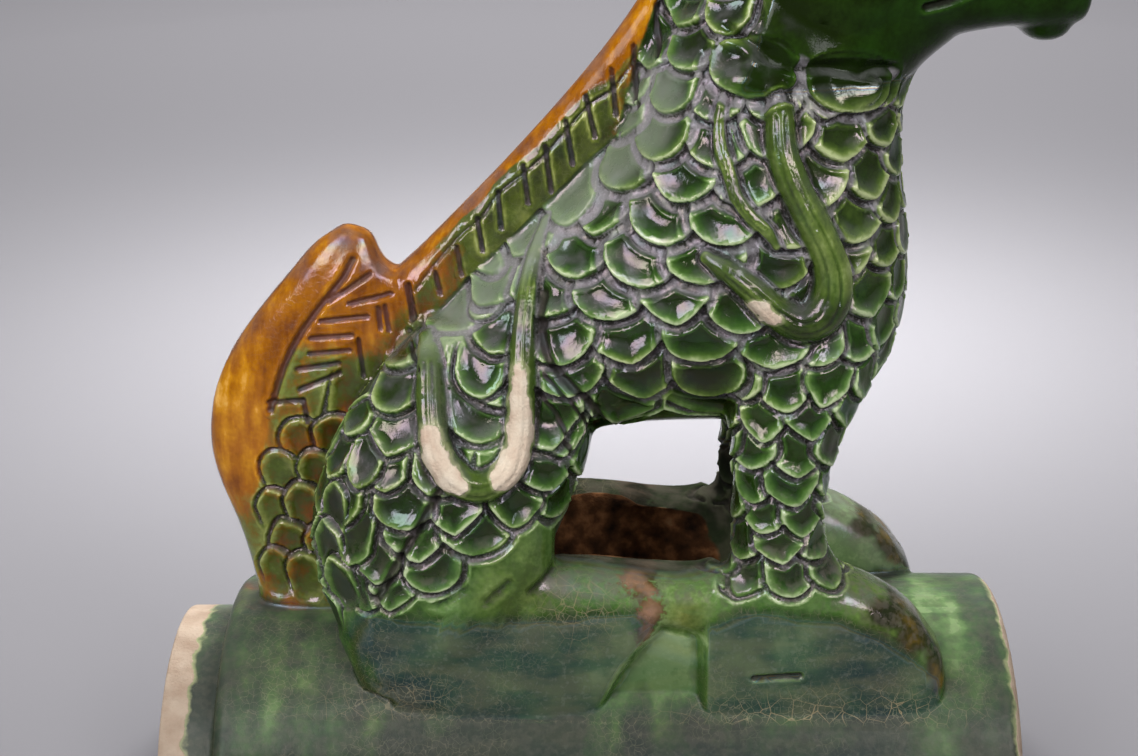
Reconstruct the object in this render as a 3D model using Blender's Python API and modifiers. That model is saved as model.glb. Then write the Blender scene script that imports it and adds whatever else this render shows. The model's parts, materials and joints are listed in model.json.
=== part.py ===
"""A glazed roof-ridge ornament: a scaly beast seated on a half-round ridge tile, fired as one body.

The tile lies along X with its socket spigot at -X, and the beast faces +X. Z is up, and the tile
rests on its two long edges at z = 0.
"""

import math

import bmesh
import bpy
import numpy as np
from mathutils import Matrix, Vector
from mathutils.bvhtree import BVHTree

MM = 0.001

# Tile, in millimetres.
TILE_RADIUS = 64.0
TILE_BORE = 46.0
SHOULDER_X = -124.5
PLAIN_END_X = 127.5
SPIGOT_LENGTH = 18.5
SPIGOT_STEP = 10.7
RIM_ROUND = 4.5
FOOT_FILLET = 2.5
TILE_STEPS = 72

# Vent through the crown, between the feet.
VENT_CENTRE = (12.0, 0.0)
VENT_HALF_LENGTH = 36.0
VENT_HALF_WIDTH = 21.0
VENT_TOP = 100.0

# How far the middle of each leg lies from the tile's centre line.
LEG_CENTRE = 31.0
HAUNCH_CENTRE = 25.0

# How far the middle of a cord stands above the skin.
CORD_LIFT = -1.0

# Fineness of the beast's solid, and how often its joins are softened.
VOXEL = 1.7
FORM_SOFTENING = 3
CORD_SOFTENING = 1
BEAST_FACES = 8200
SHARP_ANGLE = 40.0

# Cutters reach this far past the work.
CUT_REACH = 200.0


def clear_scene():
    for old in list(bpy.data.objects):
        bpy.data.objects.remove(old, do_unlink=True)


def new_collection(name):
    made = bpy.data.collections.new(name)
    bpy.context.scene.collection.children.link(made)
    return made


def object_of(name, bm, collection):
    mesh = bpy.data.meshes.new(name)
    bm.to_mesh(mesh)
    bm.free()
    obj = bpy.data.objects.new(name, mesh)
    collection.objects.link(obj)
    return obj


def baked(obj):
    """The object's mesh with its modifiers applied."""
    graph = bpy.context.evaluated_depsgraph_get()
    return bpy.data.meshes.new_from_object(obj.evaluated_get(graph))


def spline(rows, per_span):
    """Catmull-Rom rows through the given ones, per_span steps between each pair."""
    rows = np.array(rows, float)
    padded = np.vstack([2 * rows[0] - rows[1], rows, 2 * rows[-1] - rows[-2]])
    steps = np.arange(per_span) / per_span
    out = []
    for a, b, c, d in zip(padded[:-3], padded[1:-2], padded[2:-1], padded[3:]):
        square = 2 * a - 5 * b + 4 * c - d
        cube = 3 * b - a - 3 * c + d
        for t in steps:
            out.append(0.5 * (2 * b + (c - a) * t + square * t**2 + cube * t**3))
    out.append(rows[-1])
    return np.array(out)


def ring(row, sides, squareness, grow=1.0, shift=(0.0, 0.0, 0.0)):
    """One section: an oval through the row's two points in the XZ plane, and its width along Y."""
    bx, bz, fx, fz, y, width = row
    centre = np.array([(bx + fx) / 2, y, (bz + fz) / 2]) + shift
    across = np.array([(fx - bx) / 2, 0.0, (fz - bz) / 2]) * grow
    angle = np.arange(sides) * 2 * math.pi / sides
    c = np.sign(np.cos(angle)) * np.abs(np.cos(angle)) ** (2 / squareness)
    s = np.sign(np.sin(angle)) * np.abs(np.sin(angle)) ** (2 / squareness)
    return centre + c[:, None] * across + s[:, None] * np.array([0.0, width * grow, 0.0])


def loft(bm, rows, sides=28, squareness=2.0, per_span=4, domes=(0.0, 0.0)):
    """A closed body through sections (x, z of one side, x, z of the other, y, half width), in mm."""
    dense = spline(rows, per_span)
    middle = np.stack([(dense[:, 0] + dense[:, 2]) / 2, dense[:, 4], (dense[:, 1] + dense[:, 3]) / 2], 1)
    first = (middle[0] - middle[1]) / np.linalg.norm(middle[0] - middle[1])
    last = (middle[-1] - middle[-2]) / np.linalg.norm(middle[-1] - middle[-2])
    rings = []
    for a in np.radians([75, 50, 25]):
        rings.append(ring(dense[0], sides, squareness, math.cos(a), first * domes[0] * math.sin(a)))
    for row in dense:
        rings.append(ring(row, sides, squareness))
    for a in np.radians([25, 50, 75]):
        rings.append(ring(dense[-1], sides, squareness, math.cos(a), last * domes[1] * math.sin(a)))
    verts = [[bm.verts.new(Vector(p) * MM) for p in points] for points in rings]
    tips = [bm.verts.new(Vector(middle[0] + first * domes[0]) * MM)]
    tips.append(bm.verts.new(Vector(middle[-1] + last * domes[1]) * MM))
    made = []
    for low, high in zip(verts[:-1], verts[1:]):
        for i in range(sides):
            j = (i + 1) % sides
            made.append(bm.faces.new((low[i], low[j], high[j], high[i])))
    for i in range(sides):
        j = (i + 1) % sides
        made.append(bm.faces.new((verts[0][j], verts[0][i], tips[0])))
        made.append(bm.faces.new((verts[-1][i], verts[-1][j], tips[1])))
    bmesh.ops.recalc_face_normals(bm, faces=made)


def both_sides(bm, rows, **kwargs):
    """The loft on the near side (-Y) and its mirror image on the far side."""
    loft(bm, rows, **kwargs)
    loft(bm, [(a, b, c, d, -y, w) for a, b, c, d, y, w in rows], **kwargs)


def ball(bm, centre, radii):
    """An ellipsoid, from the sphere primitive."""
    place = Matrix.Translation(Vector(centre) * MM) @ Matrix.Diagonal([*(Vector(radii) * MM), 1.0])
    bmesh.ops.create_uvsphere(bm, u_segments=24, v_segments=14, radius=1.0, matrix=place)


def tube(bm, points, radii, sides=10):
    """A round cord through points in mm, with its own radius at each."""
    rows = spline([(*p, r) for p, r in zip(points, radii)], 5)
    path = rows[:, :3]
    along = np.gradient(path, axis=0)
    along /= np.linalg.norm(along, axis=1)[:, None]
    rings = []
    for centre, direction, radius in zip(path, along, rows[:, 3]):
        side = np.cross(direction, (0.0, 1.0, 0.0))
        side /= np.linalg.norm(side)
        up = np.cross(side, direction)
        angle = np.arange(sides) * 2 * math.pi / sides
        turn = np.cos(angle)[:, None] * side + np.sin(angle)[:, None] * up
        rings.append([bm.verts.new(Vector(centre + radius * t) * MM) for t in turn])
    made = []
    for low, high in zip(rings[:-1], rings[1:]):
        for i in range(sides):
            j = (i + 1) % sides
            made.append(bm.faces.new((low[i], low[j], high[j], high[i])))
    made.append(bm.faces.new(rings[0][::-1]))
    made.append(bm.faces.new(rings[-1]))
    bmesh.ops.recalc_face_normals(bm, faces=made)


def trunk(bm):
    """Rump, belly, chest and neck: sections from the back line to the belly or chest line."""
    rows = [
        (-84, 118, -44, 88, 0, 30),
        (-76, 138, -26, 108, 0, 36),
        (-62, 155, -8, 124, 0, 38),
        (-44, 173, 14, 128, 0, 38),
        (-26, 190, 41, 128, 0, 39),
        (-9, 206, 65, 129, 0, 42),
        (0, 217, 84, 142, 0, 43),
        (4, 225, 91, 163, 0, 43),
        (7, 233, 91.5, 185, 0, 40),
        (10, 242, 89, 205, 0, 36),
        (16, 252, 88, 222, 0, 33),
        (24, 266, 91, 236, 0, 29),
        (34, 282, 103, 247, 0, 24),
    ]
    loft(bm, rows, sides=36, per_span=3)


def crest(bm):
    """The upright fin along the spine, from the tail to the poll."""
    rows = [
        (-74, 160, -60, 146, 0, 9),
        (-67, 174, -50, 158, 0, 9),
        (-59, 182, -38, 166, 0, 8.5),
        (-45, 196, -24, 181, 0, 8),
        (-30.5, 211, -10, 196, 0, 7.5),
        (-15, 228, 4, 213, 0, 7),
        (-2, 243.5, 14, 232, 0, 6.5),
        (9, 259, 24, 249, 0, 6),
        (19, 277, 36, 268, 0, 6),
        (29, 295, 46, 284, 0, 6),
        (43, 311, 54, 296, 0, 5),
    ]
    loft(bm, rows, sides=20, squareness=3.0, domes=(4, 5))


def tail(bm):
    """The flame-shaped tail, a thick slab that stands up behind the rump."""
    rows = [
        (-116, 58, -76, 58, 0, 11),
        (-116, 69, -72, 69, 0, 11),
        (-120, 88, -66, 88, 0, 11),
        (-126, 106, -60, 106, 0, 11),
        (-128, 119, -56, 120, 0, 11),
        (-126, 134, -52, 134, 0, 11),
        (-120, 148, -50, 148, 0, 10.5),
        (-111, 161, -50, 161, 0, 10),
        (-100, 174, -59, 171, 0, 9),
        (-92, 183, -69, 177, 0, 7.5),
        (-84, 188.5, -73, 185, 0, 5),
    ]
    loft(bm, rows, sides=28, squareness=2.8, domes=(0, 2))


def haunches(bm):
    """Thigh and folded shank on each side."""
    thigh = [
        (-79, 50, -36, 46, -HAUNCH_CENTRE - 11, 12),
        (-85, 64, -32, 60, -HAUNCH_CENTRE - 8, 15),
        (-90, 78, -27, 74, -HAUNCH_CENTRE - 4, 19),
        (-93, 90, -21, 88, -HAUNCH_CENTRE - 2, 22),
        (-93.5, 102, -15, 101, -HAUNCH_CENTRE, 24),
        (-90, 115, -10, 114, -HAUNCH_CENTRE, 24),
        (-85, 128, -5, 127, -HAUNCH_CENTRE + 2, 23),
        (-76, 143, -8, 140, -HAUNCH_CENTRE + 5, 20),
        (-63, 157, -16, 156, -HAUNCH_CENTRE + 9, 16),
    ]
    both_sides(bm, thigh, domes=(0, 9))
    shank = [
        (-78, 62, -58, 50, -35, 13),
        (-66, 82, -32, 60, -36, 13),
        (-48, 102, -19, 80, -35, 13.5),
        (-36, 116, -17, 99, -33, 12.5),
    ]
    both_sides(bm, shank, domes=(6, 7))


def forelegs(bm):
    rows = [
        (31, 172, 80, 172, -LEG_CENTRE + 6, 16),
        (32, 152, 80, 152, -LEG_CENTRE + 3, 16),
        (35.5, 134, 71.5, 134, -LEG_CENTRE + 1, 15),
        (36.5, 119, 67, 119, -LEG_CENTRE, 14.5),
        (37, 107, 65.5, 107, -LEG_CENTRE, 14),
        (37, 96, 67, 96, -LEG_CENTRE - 0.5, 14),
        (35, 86, 75, 84, -LEG_CENTRE - 0.5, 14.5),
        (32, 72, 87, 68, -LEG_CENTRE - 0.5, 15),
        (28, 56, 92, 54, -LEG_CENTRE, 15),
    ]
    both_sides(bm, rows)


def feet(bm):
    """Fore and hind feet: flat-sided blocks luted to the tile, joined by a web over a shallow arch."""
    fore = [
        (30, 84, 30, 30, -31.5, 15.5),
        (42, 88, 42, 30, -31.5, 15.5),
        (58, 89, 58, 30, -31.5, 15.5),
        (74, 86, 74, 30, -31.5, 15.5),
        (86, 80, 86, 30, -31.5, 15),
        (95, 73, 96, 32, -32, 14),
        (101, 65, 101, 34, -32.5, 12),
    ]
    both_sides(bm, fore, squareness=3.6, domes=(3, 4.5))
    hind = [
        (-66, 76, -66, 30, -33, 13),
        (-44, 84, -44, 30, -32.5, 15),
        (-22, 89, -22, 30, -32, 15.5),
        (-8, 89.5, -12, 30, -31.5, 15.5),
        (3, 88.5, -5, 38, -31.5, 15.5),
        (12, 87, 1, 52, -31.5, 15),
        (19, 85, 9, 64, -31.5, 13.5),
    ]
    both_sides(bm, hind, squareness=3.2, domes=(4, 5))
    web = [
        (2, 87, -2, 70, -31, 13.5),
        (13, 86.5, 13, 71, -31, 14),
        (24, 86, 24, 69.5, -31, 14),
        (33, 88, 36, 60, -31, 14),
    ]
    both_sides(bm, web, squareness=3.0)
    behind_the_arch = [
        (-14, 84, -14, 30, -30, 11),
        (10, 84, 10, 30, -30, 11),
        (38, 84, 38, 30, -30, 11),
    ]
    both_sides(bm, behind_the_arch, squareness=4.0)


def head(bm):
    """Long-muzzled head: skull and muzzle, nostril wings, brows, eyes, cheeks, ruff and ears."""
    rows = [
        (32, 288, 40, 262, 0, 17),
        (39, 300, 44, 249, 0, 23),
        (51, 306, 53, 241, 0, 26.5),
        (66, 307, 66, 239, 0, 28),
        (80, 303, 79, 241, 0, 26),
        (92, 292, 92, 244.5, 0, 22),
        (104, 283, 104, 247.5, 0, 18.5),
        (117, 279, 117, 249.5, 0, 17),
        (128, 280, 129, 249, 0, 17),
        (136.5, 274, 137, 250.5, 0, 14),
    ]
    loft(bm, rows, sides=32, squareness=2.3, domes=(6, 5))
    ball(bm, (129, 0, 250.5), (8, 9, 5.5))
    for side in (-1, 1):
        ball(bm, (130, side * 11, 274), (7.5, 6.5, 6.5))
        ball(bm, (90, side * 20.5, 287), (7, 5, 5.5))
        ball(bm, (81, side * 19, 297.5), (16, 7, 5.5))
        ball(bm, (62, side * 17, 262), (22, 12.5, 19))
        ball(bm, (43, side * 30, 240), (11, 4.5, 7))
        ball(bm, (66, side * 26.5, 236), (13, 4.5, 6.5))
    ear = [
        (44, 291, 56, 300, -20, 5.5),
        (32, 298, 46, 309, -25, 5.5),
        (22, 306, 31, 313, -29, 3),
    ]
    both_sides(bm, ear, domes=(2, 3))


def arc(r, x, radius, start, end, steps=5):
    """Points of a quarter round about (r, x): 0 degrees points outwards, 90 towards +X."""
    turns = np.radians(np.linspace(start, end, steps + 1))
    return [(r + radius * math.cos(t), x + radius * math.sin(t)) for t in turns]


def tile_solid(collection):
    """Half-round tile: its wall turned about the X axis, then cut off flat at its bed."""
    wall = [
        (TILE_BORE, PLAIN_END_X),
        *arc(TILE_RADIUS - RIM_ROUND, PLAIN_END_X - RIM_ROUND, RIM_ROUND, 90, 0),
        *arc(TILE_RADIUS - RIM_ROUND, SHOULDER_X + RIM_ROUND, RIM_ROUND, 0, -90),
        *arc(TILE_RADIUS - SPIGOT_STEP + FOOT_FILLET, SHOULDER_X - FOOT_FILLET, FOOT_FILLET, 90, 180),
        (TILE_RADIUS - SPIGOT_STEP, SHOULDER_X - SPIGOT_LENGTH),
        (TILE_BORE, SHOULDER_X - SPIGOT_LENGTH),
    ]
    bm = bmesh.new()
    verts = [bm.verts.new((r * MM, 0, x * MM)) for r, x in wall]
    for a, b in zip(verts, verts[1:] + verts[:1]):
        bm.edges.new((a, b))
    obj = object_of("tile_wall", bm, collection)
    turn = obj.modifiers.new("turned about the axis", "SCREW")
    turn.angle = 2 * math.pi
    turn.steps = TILE_STEPS
    turn.render_steps = TILE_STEPS
    turn.use_merge_vertices = True
    turn.merge_threshold = 0.00002
    obj.data = baked(obj)
    obj.modifiers.clear()
    obj.data.transform(Matrix.Rotation(math.radians(90), 4, "Y"))
    return obj


def block(name, low, high, collection):
    """A box between two corners in mm, used as a cutter."""
    bm = bmesh.new()
    size = Vector(high) - Vector(low)
    place = Matrix.Translation((Vector(low) + size / 2) * MM) @ Matrix.Diagonal([*(size * MM), 1.0])
    bmesh.ops.create_cube(bm, size=1.0, matrix=place)
    return as_cutter(object_of(name, bm, collection))


def as_cutter(obj):
    obj.hide_render = True
    obj.display_type = "WIRE"
    return obj


def cut(obj, other, operation="DIFFERENCE"):
    step = obj.modifiers.new(other.name, "BOOLEAN")
    step.object = other
    step.operation = operation
    step.solver = "EXACT"
    obj.data = baked(obj)
    obj.modifiers.clear()


def fused(obj, voxel, smoothing):
    """One skin round all the overlapping forms, softened."""
    skin = obj.modifiers.new("one skin", "REMESH")
    skin.mode = "VOXEL"
    skin.voxel_size = voxel * MM
    soft = obj.modifiers.new("softened", "SMOOTH")
    soft.factor = 0.5
    soft.iterations = smoothing
    obj.data = baked(obj)
    obj.modifiers.clear()


def laid_on(surface, points, lift):
    """Points in the XZ plane, moved along Y onto the near side of the surface, raised by lift."""
    out = []
    for x, z in points:
        hit, normal, _, _ = surface.ray_cast(Vector((x, -120.0, z)) * MM, Vector((0, 1, 0)))
        out.append(tuple((hit + normal * lift * MM) / MM))
    return out


def flame_cords(bm, surface):
    """Raised cords on both sides: a hook on the haunch, one on the shoulder, and the mane's edge."""
    hook = [(-56.5, 161), (-55, 156), (-54.3, 147), (-53.3, 138), (-50.5, 129), (-44.5, 122.5)]
    hook += [(-37.5, 120.8), (-30, 125.5), (-27, 135), (-26.6, 149), (-26.4, 163), (-25.5, 174)]
    hook += [(-23.5, 184), (-20, 193.5)]
    shoulder = [(46.5, 238), (48, 230), (48.7, 221), (52, 211.5), (57, 201.5), (61.8, 192.5)]
    shoulder += [(64.6, 184), (64.3, 176), (60.5, 171), (54.5, 169.6), (48, 173.4), (40.5, 180.3)]
    shoulder += [(33, 186), (27.5, 189.3)]
    mane = [(31.5, 235), (30.6, 228), (31, 221), (33.5, 214), (35.8, 207), (40, 201.6), (44.5, 197.8)]
    mane += [(47.5, 193)]
    cords = [
        (hook, [2.2, 3.6, 4.3, 4.6, 5.0, 5.0, 4.8, 4.6, 4.4, 4.2, 3.6, 3.0, 2.4, 1.5]),
        (shoulder, [2.8, 4.2, 4.6, 4.8, 5.0, 5.2, 5.8, 6.4, 6.2, 5.6, 4.8, 4.0, 3.2, 2.0]),
        (mane, [1.0, 1.6, 2.0, 2.1, 2.1, 2.0, 1.8, 1.1]),
    ]
    for route, radii in cords:
        near = laid_on(surface, route, CORD_LIFT)
        tube(bm, near, radii)
        tube(bm, [(x, -y, z) for x, y, z in near], radii)


def beast_solid(collection):
    forms = bmesh.new()
    for part in (trunk, crest, tail, haunches, forelegs, feet, head):
        part(forms)
    plain = object_of("beast_forms", forms, collection)
    fused(plain, VOXEL, FORM_SOFTENING)

    carved = bmesh.new()
    carved.from_mesh(plain.data)
    flame_cords(carved, BVHTree.FromBMesh(carved))
    beast = object_of("beast", carved, collection)
    bpy.data.objects.remove(plain)
    fused(beast, VOXEL, CORD_SOFTENING)
    beast.data = thinned(beast, BEAST_FACES)
    return beast


def thinned(obj, faces):
    """The mesh with about this many triangles left, most of them where the form bends."""
    triangles = sum(len(p.vertices) - 2 for p in obj.data.polygons)
    thin = obj.modifiers.new("thinned", "DECIMATE")
    thin.ratio = faces / triangles
    thin.use_collapse_triangulate = True
    mesh = baked(obj)
    obj.modifiers.clear()
    return mesh


def wall_core(collection):
    """A cylinder to the middle of the tile's wall: the beast stops inside the wall it stands on."""
    middle = (TILE_BORE + TILE_RADIUS) / 2
    place = Matrix.Rotation(math.radians(90), 4, "Y") @ Matrix.Diagonal([middle, middle, 2 * CUT_REACH, 1.0])
    bm = bmesh.new()
    bmesh.ops.create_cone(bm, cap_ends=True, segments=48, radius1=MM, radius2=MM, depth=MM, matrix=place)
    return as_cutter(object_of("wall_core", bm, collection))


def vent_cutter(collection):
    """An oval shaft from the tile's bore up between the feet."""
    bm = bmesh.new()
    depth = VENT_TOP - TILE_BORE / 2
    place = Matrix.Translation(Vector((*VENT_CENTRE, VENT_TOP - depth / 2)) * MM)
    place = place @ Matrix.Diagonal([VENT_HALF_LENGTH, VENT_HALF_WIDTH, depth, 1.0])
    bmesh.ops.create_cone(bm, cap_ends=True, segments=36, radius1=MM, radius2=MM, depth=MM, matrix=place)
    return as_cutter(object_of("vent_shaft", bm, collection))


def glaze():
    made = bpy.data.materials.new("green_lead_glaze")
    made.use_nodes = True
    shader = made.node_tree.nodes["Principled BSDF"]
    shader.inputs["Base Color"].default_value = (0.035, 0.12, 0.04, 1.0)
    shader.inputs["Roughness"].default_value = 0.18
    shader.inputs["Metallic"].default_value = 0.0
    return made


def stand_at_origin(mesh):
    """Moves the mesh so that the middle of its box's underside is the origin."""
    points = np.array([v.co for v in mesh.vertices])
    low = points.min(axis=0)
    high = points.max(axis=0)
    mesh.transform(Matrix.Translation((-(low[0] + high[0]) / 2, -(low[1] + high[1]) / 2, -low[2])))


def build():
    clear_scene()
    parts = new_collection("ridge_beast_ornament")
    cutters = new_collection("cutters")

    tile = tile_solid(parts)
    low = (-CUT_REACH, -CUT_REACH, -CUT_REACH)
    below = block("below_the_bed", low, (CUT_REACH, CUT_REACH, 0), cutters)
    beast = beast_solid(cutters)
    cut(beast, wall_core(cutters))

    cut(tile, below)
    cut(tile, as_cutter(beast), "UNION")
    cut(tile, vent_cutter(cutters))
    tile.name = "ridge_beast_tile"
    tile.data.name = tile.name
    stand_at_origin(tile.data)
    tile.data.materials.clear()
    tile.data.materials.append(glaze())
    tile.data.shade_smooth()
    tile.data.set_sharp_from_angle(angle=math.radians(SHARP_ANGLE))


build()
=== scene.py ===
"""A glazed roof ornament: a scaly beast seated on a half-round ridge tile, one body of lead-glazed clay.

Every size is in millimetres on the potter's own bench, where x = 0 is the mark that the tile is laid
out from, until the finished body is moved into the frame, in metres.
"""

import json
import math

import bmesh
import bpy
import numpy as np
from mathutils import Matrix, Vector
from mathutils.bvhtree import BVHTree


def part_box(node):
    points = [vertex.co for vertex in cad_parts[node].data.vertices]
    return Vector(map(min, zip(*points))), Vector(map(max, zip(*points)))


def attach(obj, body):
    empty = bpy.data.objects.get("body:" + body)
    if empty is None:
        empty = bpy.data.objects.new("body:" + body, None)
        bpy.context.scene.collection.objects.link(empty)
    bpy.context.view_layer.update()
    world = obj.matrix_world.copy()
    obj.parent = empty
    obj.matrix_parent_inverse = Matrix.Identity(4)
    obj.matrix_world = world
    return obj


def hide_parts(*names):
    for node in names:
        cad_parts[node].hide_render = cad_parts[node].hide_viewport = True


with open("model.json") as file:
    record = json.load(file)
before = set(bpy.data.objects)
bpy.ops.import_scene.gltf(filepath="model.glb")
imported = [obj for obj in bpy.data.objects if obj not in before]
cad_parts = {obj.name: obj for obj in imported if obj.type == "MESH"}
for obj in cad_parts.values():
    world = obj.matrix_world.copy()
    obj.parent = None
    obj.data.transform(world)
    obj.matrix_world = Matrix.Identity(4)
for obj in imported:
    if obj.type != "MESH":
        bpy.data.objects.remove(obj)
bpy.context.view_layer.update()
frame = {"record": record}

# ---- The ridge tile ----------------------------------------------------------------------------
# A half-round tile of buff clay, thrown as a pipe and split in two. The stepped spigot at its left
# end slips into the next tile. Its ends and its radius are the frame's own.
MM = 0.001
high_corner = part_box("ridge_beast_tile")[1]
ends = {mount["name"]: mount["pos_m"][0] / MM for mount in frame["record"]["mounts"]}
SPIGOT_LENGTH = 18.5
SHOULDER_X = -124.5
MARK = ends["spigot_end"] - (SHOULDER_X - SPIGOT_LENGTH)
PLAIN_END_X = ends["plain_end"] - MARK
TILE_RADIUS = high_corner.y / MM
TILE_BORE = 46.0
SPIGOT_STEP = 10.7
RIM_ROUND = 4.5
FOOT_FILLET = 2.5
TILE_STEPS = 120
CLAY_BELOW_BED = (400, 200, 200)


def object_of(name, mesh):
    made = bpy.data.objects.new(name, mesh)
    bpy.context.scene.collection.objects.link(made)
    return made


def object_from(name, bm):
    mesh = bpy.data.meshes.new(name)
    bm.to_mesh(mesh)
    bm.free()
    return object_of(name, mesh)


def baked(obj):
    """The object's mesh with its modifiers applied, and its modifiers gone."""
    graph = bpy.context.evaluated_depsgraph_get()
    mesh = bpy.data.meshes.new_from_object(obj.evaluated_get(graph))
    obj.modifiers.clear()
    obj.data = mesh
    return mesh


def arc(r, x, radius, start, end, steps=6):
    """Points of a quarter round about (r, x): 0 degrees points outwards, 90 towards +X."""
    turns = np.radians(np.linspace(start, end, steps + 1))
    return [(r + radius * math.cos(t), x + radius * math.sin(t)) for t in turns]


def turned(name, profile, steps):
    """A closed profile of (radius, x) points turned round the X axis."""
    bm = bmesh.new()
    verts = [bm.verts.new((r, 0, x)) for r, x in profile]
    for a, b in zip(verts, verts[1:] + verts[:1]):
        bm.edges.new((a, b))
    obj = object_from(name, bm)
    turn = obj.modifiers.new("turned about the axis", "SCREW")
    turn.angle = 2 * math.pi
    turn.steps = steps
    turn.render_steps = steps
    turn.use_merge_vertices = True
    turn.merge_threshold = 0.001
    baked(obj)
    obj.data.transform(Matrix.Rotation(math.radians(90), 4, "Y"))
    return obj


def cut(obj, other, operation="DIFFERENCE"):
    """Cuts the other body away from obj, or joins it on, and removes it."""
    step = obj.modifiers.new(other.name, "BOOLEAN")
    step.object = other
    step.operation = operation
    step.solver = "MANIFOLD"
    baked(obj)
    bpy.data.objects.remove(other)


def solid(name, make, place):
    """A primitive made in a new mesh at a place, such as a cube or a cone."""
    bm = bmesh.new()
    make(bm, place)
    return object_from(name, bm)


def cube(bm, place):
    bmesh.ops.create_cube(bm, size=1.0, matrix=place)


def cylinder(bm, place):
    bmesh.ops.create_cone(bm, cap_ends=True, segments=96, radius1=1.0, radius2=1.0, depth=1.0, matrix=place)


wall = [
    (TILE_BORE, PLAIN_END_X),
    *arc(TILE_RADIUS - RIM_ROUND, PLAIN_END_X - RIM_ROUND, RIM_ROUND, 90, 0),
    *arc(TILE_RADIUS - RIM_ROUND, SHOULDER_X + RIM_ROUND, RIM_ROUND, 0, -90),
    *arc(TILE_RADIUS - SPIGOT_STEP + FOOT_FILLET, SHOULDER_X - FOOT_FILLET, FOOT_FILLET, 90, 180),
    (TILE_RADIUS - SPIGOT_STEP, SHOULDER_X - SPIGOT_LENGTH),
    (TILE_BORE, SHOULDER_X - SPIGOT_LENGTH),
]
tile = turned("tile", wall, TILE_STEPS)
below = Matrix.Translation((0, 0, -CLAY_BELOW_BED[2] / 2)) @ Matrix.Diagonal((*CLAY_BELOW_BED, 1))
cut(tile, solid("below_the_bed", cube, below))

# ---- The beast's plain forms -------------------------------------------------------------------
# Trunk, crest, tail, limbs and head are rolled, pressed and modelled in soft clay and luted together.
# Each is a closed loft of ovals: (x, z of one side, x, z of the other, y of the middle, half width).
HAUNCH_Y = 25.0
LEG_Y = 31.0
SKIN_SUNK = 1.2


def spline(rows, per_span):
    """Catmull-Rom rows through the given ones, per_span steps between each pair."""
    rows = np.array(rows, float)
    padded = np.vstack([2 * rows[0] - rows[1], rows, 2 * rows[-1] - rows[-2]])
    out = []
    for a, b, c, d in zip(padded[:-3], padded[1:-2], padded[2:-1], padded[3:]):
        for t in np.arange(per_span) / per_span:
            square = 2 * a - 5 * b + 4 * c - d
            cube_term = 3 * b - a - 3 * c + d
            out.append(0.5 * (2 * b + (c - a) * t + square * t**2 + cube_term * t**3))
    out.append(rows[-1])
    return np.array(out)


def ring(row, sides, squareness, grow=1.0, shift=(0.0, 0.0, 0.0)):
    """One oval section through the row's two points in the XZ plane."""
    bx, bz, fx, fz, y, width = row
    centre = np.array([(bx + fx) / 2, y, (bz + fz) / 2]) + shift
    across = np.array([(fx - bx) / 2, 0.0, (fz - bz) / 2]) * grow
    angle = np.arange(sides) * 2 * math.pi / sides
    c = np.sign(np.cos(angle)) * np.abs(np.cos(angle)) ** (2 / squareness)
    s = np.sign(np.sin(angle)) * np.abs(np.sin(angle)) ** (2 / squareness)
    return centre + c[:, None] * across + s[:, None] * np.array([0.0, width * grow, 0.0])


def skinned(bm, rings, tips):
    """Walls between the rings in turn, and a fan to the tip at each end."""
    sides = len(rings[0])
    verts = [[bm.verts.new(p) for p in points] for points in rings]
    first = bm.verts.new(tips[0])
    last = bm.verts.new(tips[1])
    made = []
    for low, high in zip(verts[:-1], verts[1:]):
        for i in range(sides):
            j = (i + 1) % sides
            made.append(bm.faces.new((low[i], low[j], high[j], high[i])))
    for i in range(sides):
        j = (i + 1) % sides
        made.append(bm.faces.new((verts[0][j], verts[0][i], first)))
        made.append(bm.faces.new((verts[-1][i], verts[-1][j], last)))
    bmesh.ops.recalc_face_normals(bm, faces=made)


def loft(bm, rows, sides=40, squareness=2.0, per_span=6, domes=(0.0, 0.0)):
    """A closed body through the rows, with a rounded end of the given height at each side."""
    dense = spline(rows, per_span)
    middle = np.stack([(dense[:, 0] + dense[:, 2]) / 2, dense[:, 4], (dense[:, 1] + dense[:, 3]) / 2], 1)
    first = (middle[0] - middle[1]) / np.linalg.norm(middle[0] - middle[1])
    last = (middle[-1] - middle[-2]) / np.linalg.norm(middle[-1] - middle[-2])
    rings = []
    for a in np.radians([80, 60, 40, 20]):
        rings.append(ring(dense[0], sides, squareness, math.cos(a), first * domes[0] * math.sin(a)))
    for row in dense:
        rings.append(ring(row, sides, squareness))
    for a in np.radians([20, 40, 60, 80]):
        rings.append(ring(dense[-1], sides, squareness, math.cos(a), last * domes[1] * math.sin(a)))
    skinned(bm, rings, (middle[0] + first * domes[0], middle[-1] + last * domes[1]))


def both_sides(bm, rows, **shape):
    """The loft on the near side (-Y), and the same again mirrored on the far side."""
    loft(bm, rows, **shape)
    loft(bm, [(a, b, c, d, -y, w) for a, b, c, d, y, w in rows], **shape)


def ball(bm, centre, radii, tilt=0.0):
    """An ellipsoid, tilted nose down by an angle in degrees."""
    place = Matrix.Translation(centre) @ Matrix.Rotation(math.radians(tilt), 4, "Y")
    place = place @ Matrix.Diagonal((*radii, 1.0))
    bmesh.ops.create_uvsphere(bm, u_segments=40, v_segments=24, radius=1.0, matrix=place)


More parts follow.
